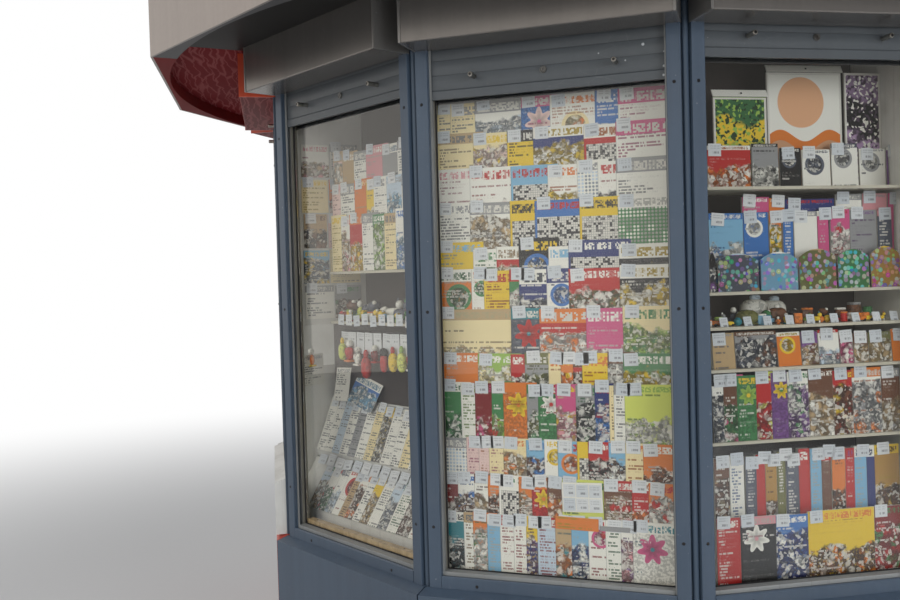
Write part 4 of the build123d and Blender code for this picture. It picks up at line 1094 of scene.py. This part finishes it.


# screws, lock faces, and dark discs of painted shade at the pins' bores: a profile turned about the facet's normal
#   ring i of the profile has radius r_i and stands h_i off the face
screw = {"profile": ((0.0, 0.0), (0.0046, 0.0), (0.0042, 0.0011), (0.0028, 0.0019), (0.0013, 0.0013), (0.0, 0.0010)),
         "turns": 10, "levels": (0.954, 1.547, 2.112), "along": 0.336, "sillAlong": 0.215, "sillLevel": 0.797,
         "sunk": 0.0004}
lockFace = {"profile": ((0.0, 0.0), (0.0088, 0.0), (0.0086, 0.0014), (0.0072, 0.0018), (0.0060, 0.0006),
                        (0.0040, 0.0005), (0.0034, 0.0014), (0.0, 0.0016)), "turns": 20, "out": 1.353,
            "slot": (0.0009, 0.0005, 0.0024), "slotSquare": 0.3, "plateOut": 1.3, "plateHalf": 0.012}
# dark discs of painted shade where the pins are hollow
pinBoreShade = {"profile": ((0.0, 0.0), (0.0040, 0.0), (0.0038, 0.0004), (0.0, 0.0004)), "turns": 16, "along": 0.190,
           "out": 1.388}
nails = {"along": (-0.27, -0.115, 0.04, 0.20), "out": 1.306, "level": 0.8432, "size": (0.0034, 0.0034, 0.0008)}


def addTurned(name, facet, places, shape, finish):
    profile, turns = shape["profile"], shape["turns"]
    angle = np.arange(turns) / turns * 2 * np.pi
    radius, stand = np.array(profile[1:-1]).T
    ring = np.stack([np.outer(radius, np.cos(angle)), np.repeat(stand[:, None], turns, 1),
                     np.outer(radius, np.sin(angle))], axis=-1).reshape(-1, 3)
    body = np.concatenate([ring, [[0, 0, 0], [0, profile[-1][1], 0]]])
    index = np.arange(len(ring)).reshape(len(radius), turns)
    after = np.roll(index, -1, axis=1)
    quads = np.stack([index[:-1], index[1:], after[1:], after[:-1]], axis=-1).reshape(-1, 4)
    under = np.stack([np.full(turns, len(ring)), index[0], after[0]], axis=-1)
    crown = np.stack([np.full(turns, len(ring) + 1), after[-1], index[-1]], axis=-1)
    faces = repeatFaces(quads, np.concatenate([under, crown]), len(body), len(places))
    addPiece(name, facet, body[None] + np.asarray(places)[:, None], faces, finish, "lock_metal")


def addStuds(name, facet, places, size, square, smooth=False):        # rounded parts of one size
    blobs = {"size": np.tile(size, (len(places), 1)), "centre": places, "turn": np.zeros(len(places)),
             "square": np.full(len(places), square)}
    addPiece(name, facet, *blobMesh(blobs), "dark_screw", "lock_metal", smooth)


for facet in windowFacets:
    out = plan["faceOut"] - screw["sunk"]
    spots = [(side * screw["along"], out, level) for side in (-1, 1) for level in screw["levels"]]
    spots += [(side * screw["sillAlong"], out, screw["sillLevel"]) for side in (-1, 1)]
    addTurned(f"screws_{facet}", facet, spots, screw, "dark_screw")
print("stage: screws in")


# height of each shutter's lock, read from the frame: the middle of its plate's points near the middle of the facet
def lockLevel(facet):
    mesh = frame["nodes"]["shutter_locks"].data
    spread = np.empty(len(mesh.vertices) * 3)
    mesh.vertices.foreach_get("co", spread)
    x, y, z = spread.reshape(-1, 3).T
    cosT, sinT = facetTurn(facet)
    plate = (x * cosT + y * sinT > lockFace["plateOut"]) & (np.abs(y * cosT - x * sinT) < lockFace["plateHalf"])
    return float((z[plate].min() + z[plate].max()) / 2)


for facet in windowFacets:
    level = lockLevel(facet)
    addTurned(f"lock_face_{facet}", facet, [(0.0, lockFace["out"], level)], lockFace, "lock_face")
    # painted shade: dark discs stand for the pins' hollow ends
    boreShades = [(side * pinBoreShade["along"], pinBoreShade["out"], level) for side in (-1, 1)]
    addTurned(f"pin_bore_shades_{facet}", facet, boreShades, pinBoreShade, "dark_screw")
    # painted shade: a dark stud stands for the keyhole's slot
    slotOut = lockFace["out"] + lockFace["profile"][-1][1]
    addStuds(f"keyhole_shade_{facet}", facet, [(0.0, slotOut, level)], lockFace["slot"], lockFace["slotSquare"])
for facet in plan["newsFacets"]:        # nail heads in the tall battens
    heads = [(along, nails["out"], nails["level"]) for along in nails["along"]]
    addStuds(f"nails_{facet}", facet, heads, nails["size"], 1.0, smooth=True)
print("stage: locks and nails in")


# floor, light and camera
studio = {
    "floorRadius": 14.0, "floorSides": 96, "floorColour": (0.680, 0.670, 0.650), "floorRough": 0.8,
    "fade": (3.2, 9.0),
    "worldLight": (0.84, 0.88, 0.95), "worldStrength": 0.48,
    # what glass and metal show, from left to right
    "mirrored": {"from": 0.0, "to": 0.8, "low": 0.30, "green": 0.96, "blue": 0.90},
    "lamps": (
        {"name": "key", "place": (-3.6, -6.2, 4.6), "aim": (0.0, -0.8, 1.3), "size": 4.5, "power": 154,
         "colour": (1.0, 0.98, 0.95)},
        {"name": "fill", "place": (5.2, -5.0, 2.6), "aim": (0.2, 0.0, 1.3), "size": 4.0, "power": 192,
         "colour": (0.95, 0.97, 1.0)},
        {"name": "back", "place": (1.0, 6.5, 4.5), "aim": (0.0, 0.0, 1.5), "size": 4.0, "power": 110,
         "colour": (1.0, 1.0, 1.0)},
    ),
}


def addFloor():
    angle = np.arange(studio["floorSides"]) / studio["floorSides"] * 2 * np.pi
    points = np.stack([np.cos(angle), np.sin(angle), 0 * angle], axis=-1) * studio["floorRadius"]
    mesh = bpy.data.meshes.new("floor")
    mesh.from_pydata(points.tolist(), [], [tuple(range(len(points)))])
    mesh.materials.append(startMaterial("floor"))
    place = objectPlace()
    matt = principled({"Base Color": shadedBy(studio["floorColour"], noise(place, 40, 3) * 0.04 + 0.98),
                       "Roughness": studio["floorRough"]})
    # the camera sees the floor turn into the white background further out
    reach = remap(vectorMaths("LENGTH", place), *studio["fade"])
    showSurface(mixShaders(reach * lightPath("Is Camera Ray"), matt, wireOf("Emission")))
    floor = bpy.data.objects.new("floor", mesh)
    bpy.context.scene.collection.objects.link(floor)


def background(colour, strength=1.0):
    return wireOf("Background", {0: colour, 1: strength})


def addWorld():
    world = bpy.data.worlds.new("studio")
    bpy.context.scene.world = world
    world.use_nodes = True
    bench["tree"] = world.node_tree
    world.node_tree.nodes.clear()
    mirror = studio["mirrored"]
    side = remap(splitVector(objectPlace())[0], mirror["from"], mirror["to"], 1.0, mirror["low"])
    shown = background(joinVector(side, side * mirror["green"], side * mirror["blue"]))
    lit = background(studio["worldLight"], studio["worldStrength"])
    bounced = maths("MAXIMUM", lightPath("Is Glossy Ray"), lightPath("Is Transmission Ray"))
    seen = mixShaders(lightPath("Is Camera Ray"), mixShaders(bounced, lit, shown), background((1, 1, 1)))
    addNode("OutputWorld", {0: seen})


def addLamps():
    for lamp in studio["lamps"]:
        light = bpy.data.lights.new(lamp["name"], "AREA")
        light.shape = "DISK"
        light.size = lamp["size"]
        light.energy = lamp["power"]
        light.color = lamp["colour"]
        holder = bpy.data.objects.new(lamp["name"], light)
        holder.visible_glossy = False
        holder.visible_transmission = False
        bpy.context.scene.collection.objects.link(holder)
        holder.location = lamp["place"]
        look = Vector(lamp["aim"]) - Vector(lamp["place"])        # -Z looks along this
        holder.rotation_euler = look.to_track_quat("-Z", "Y").to_euler()


# the photograph's frame is 900 by 600 pixels; yaw is to the left of +Y, pitch up, and roll lifts the right side
view = {"place": (0.5633, -3.7477, 1.65), "yaw": 19.3026, "pitch": -1.6074, "roll": -1.5968,
        "focalPixels": 928.22, "framePixels": 900, "sensor": 36.0, "near": 0.05}


def addCamera():
    yaw, pitch, roll = (math.radians(view[key]) for key in ("yaw", "pitch", "roll"))
    forward = Vector((-math.sin(yaw) * math.cos(pitch), math.cos(yaw) * math.cos(pitch), math.sin(pitch)))
    right = forward.cross(Vector((0, 0, 1))).normalized()
    up = right.cross(forward)
    turnedRight = right * math.cos(roll) + up * math.sin(roll)
    turnedUp = up * math.cos(roll) - right * math.sin(roll)
    data = bpy.data.cameras.new("view")
    data.sensor_width = view["sensor"]
    data.lens = view["focalPixels"] / view["framePixels"] * view["sensor"]
    data.clip_start = view["near"]
    camera = bpy.data.objects.new("view", data)
    bpy.context.scene.collection.objects.link(camera)
    turn = Matrix((turnedRight, turnedUp, -forward)).transposed().to_4x4()
    camera.matrix_world = Matrix.Translation(view["place"]) @ turn
    bpy.context.scene.camera = camera


addFloor()
addWorld()
addLamps()
addCamera()
bpy.context.scene.view_settings.view_transform = "Standard"
print("stage: studio ready")
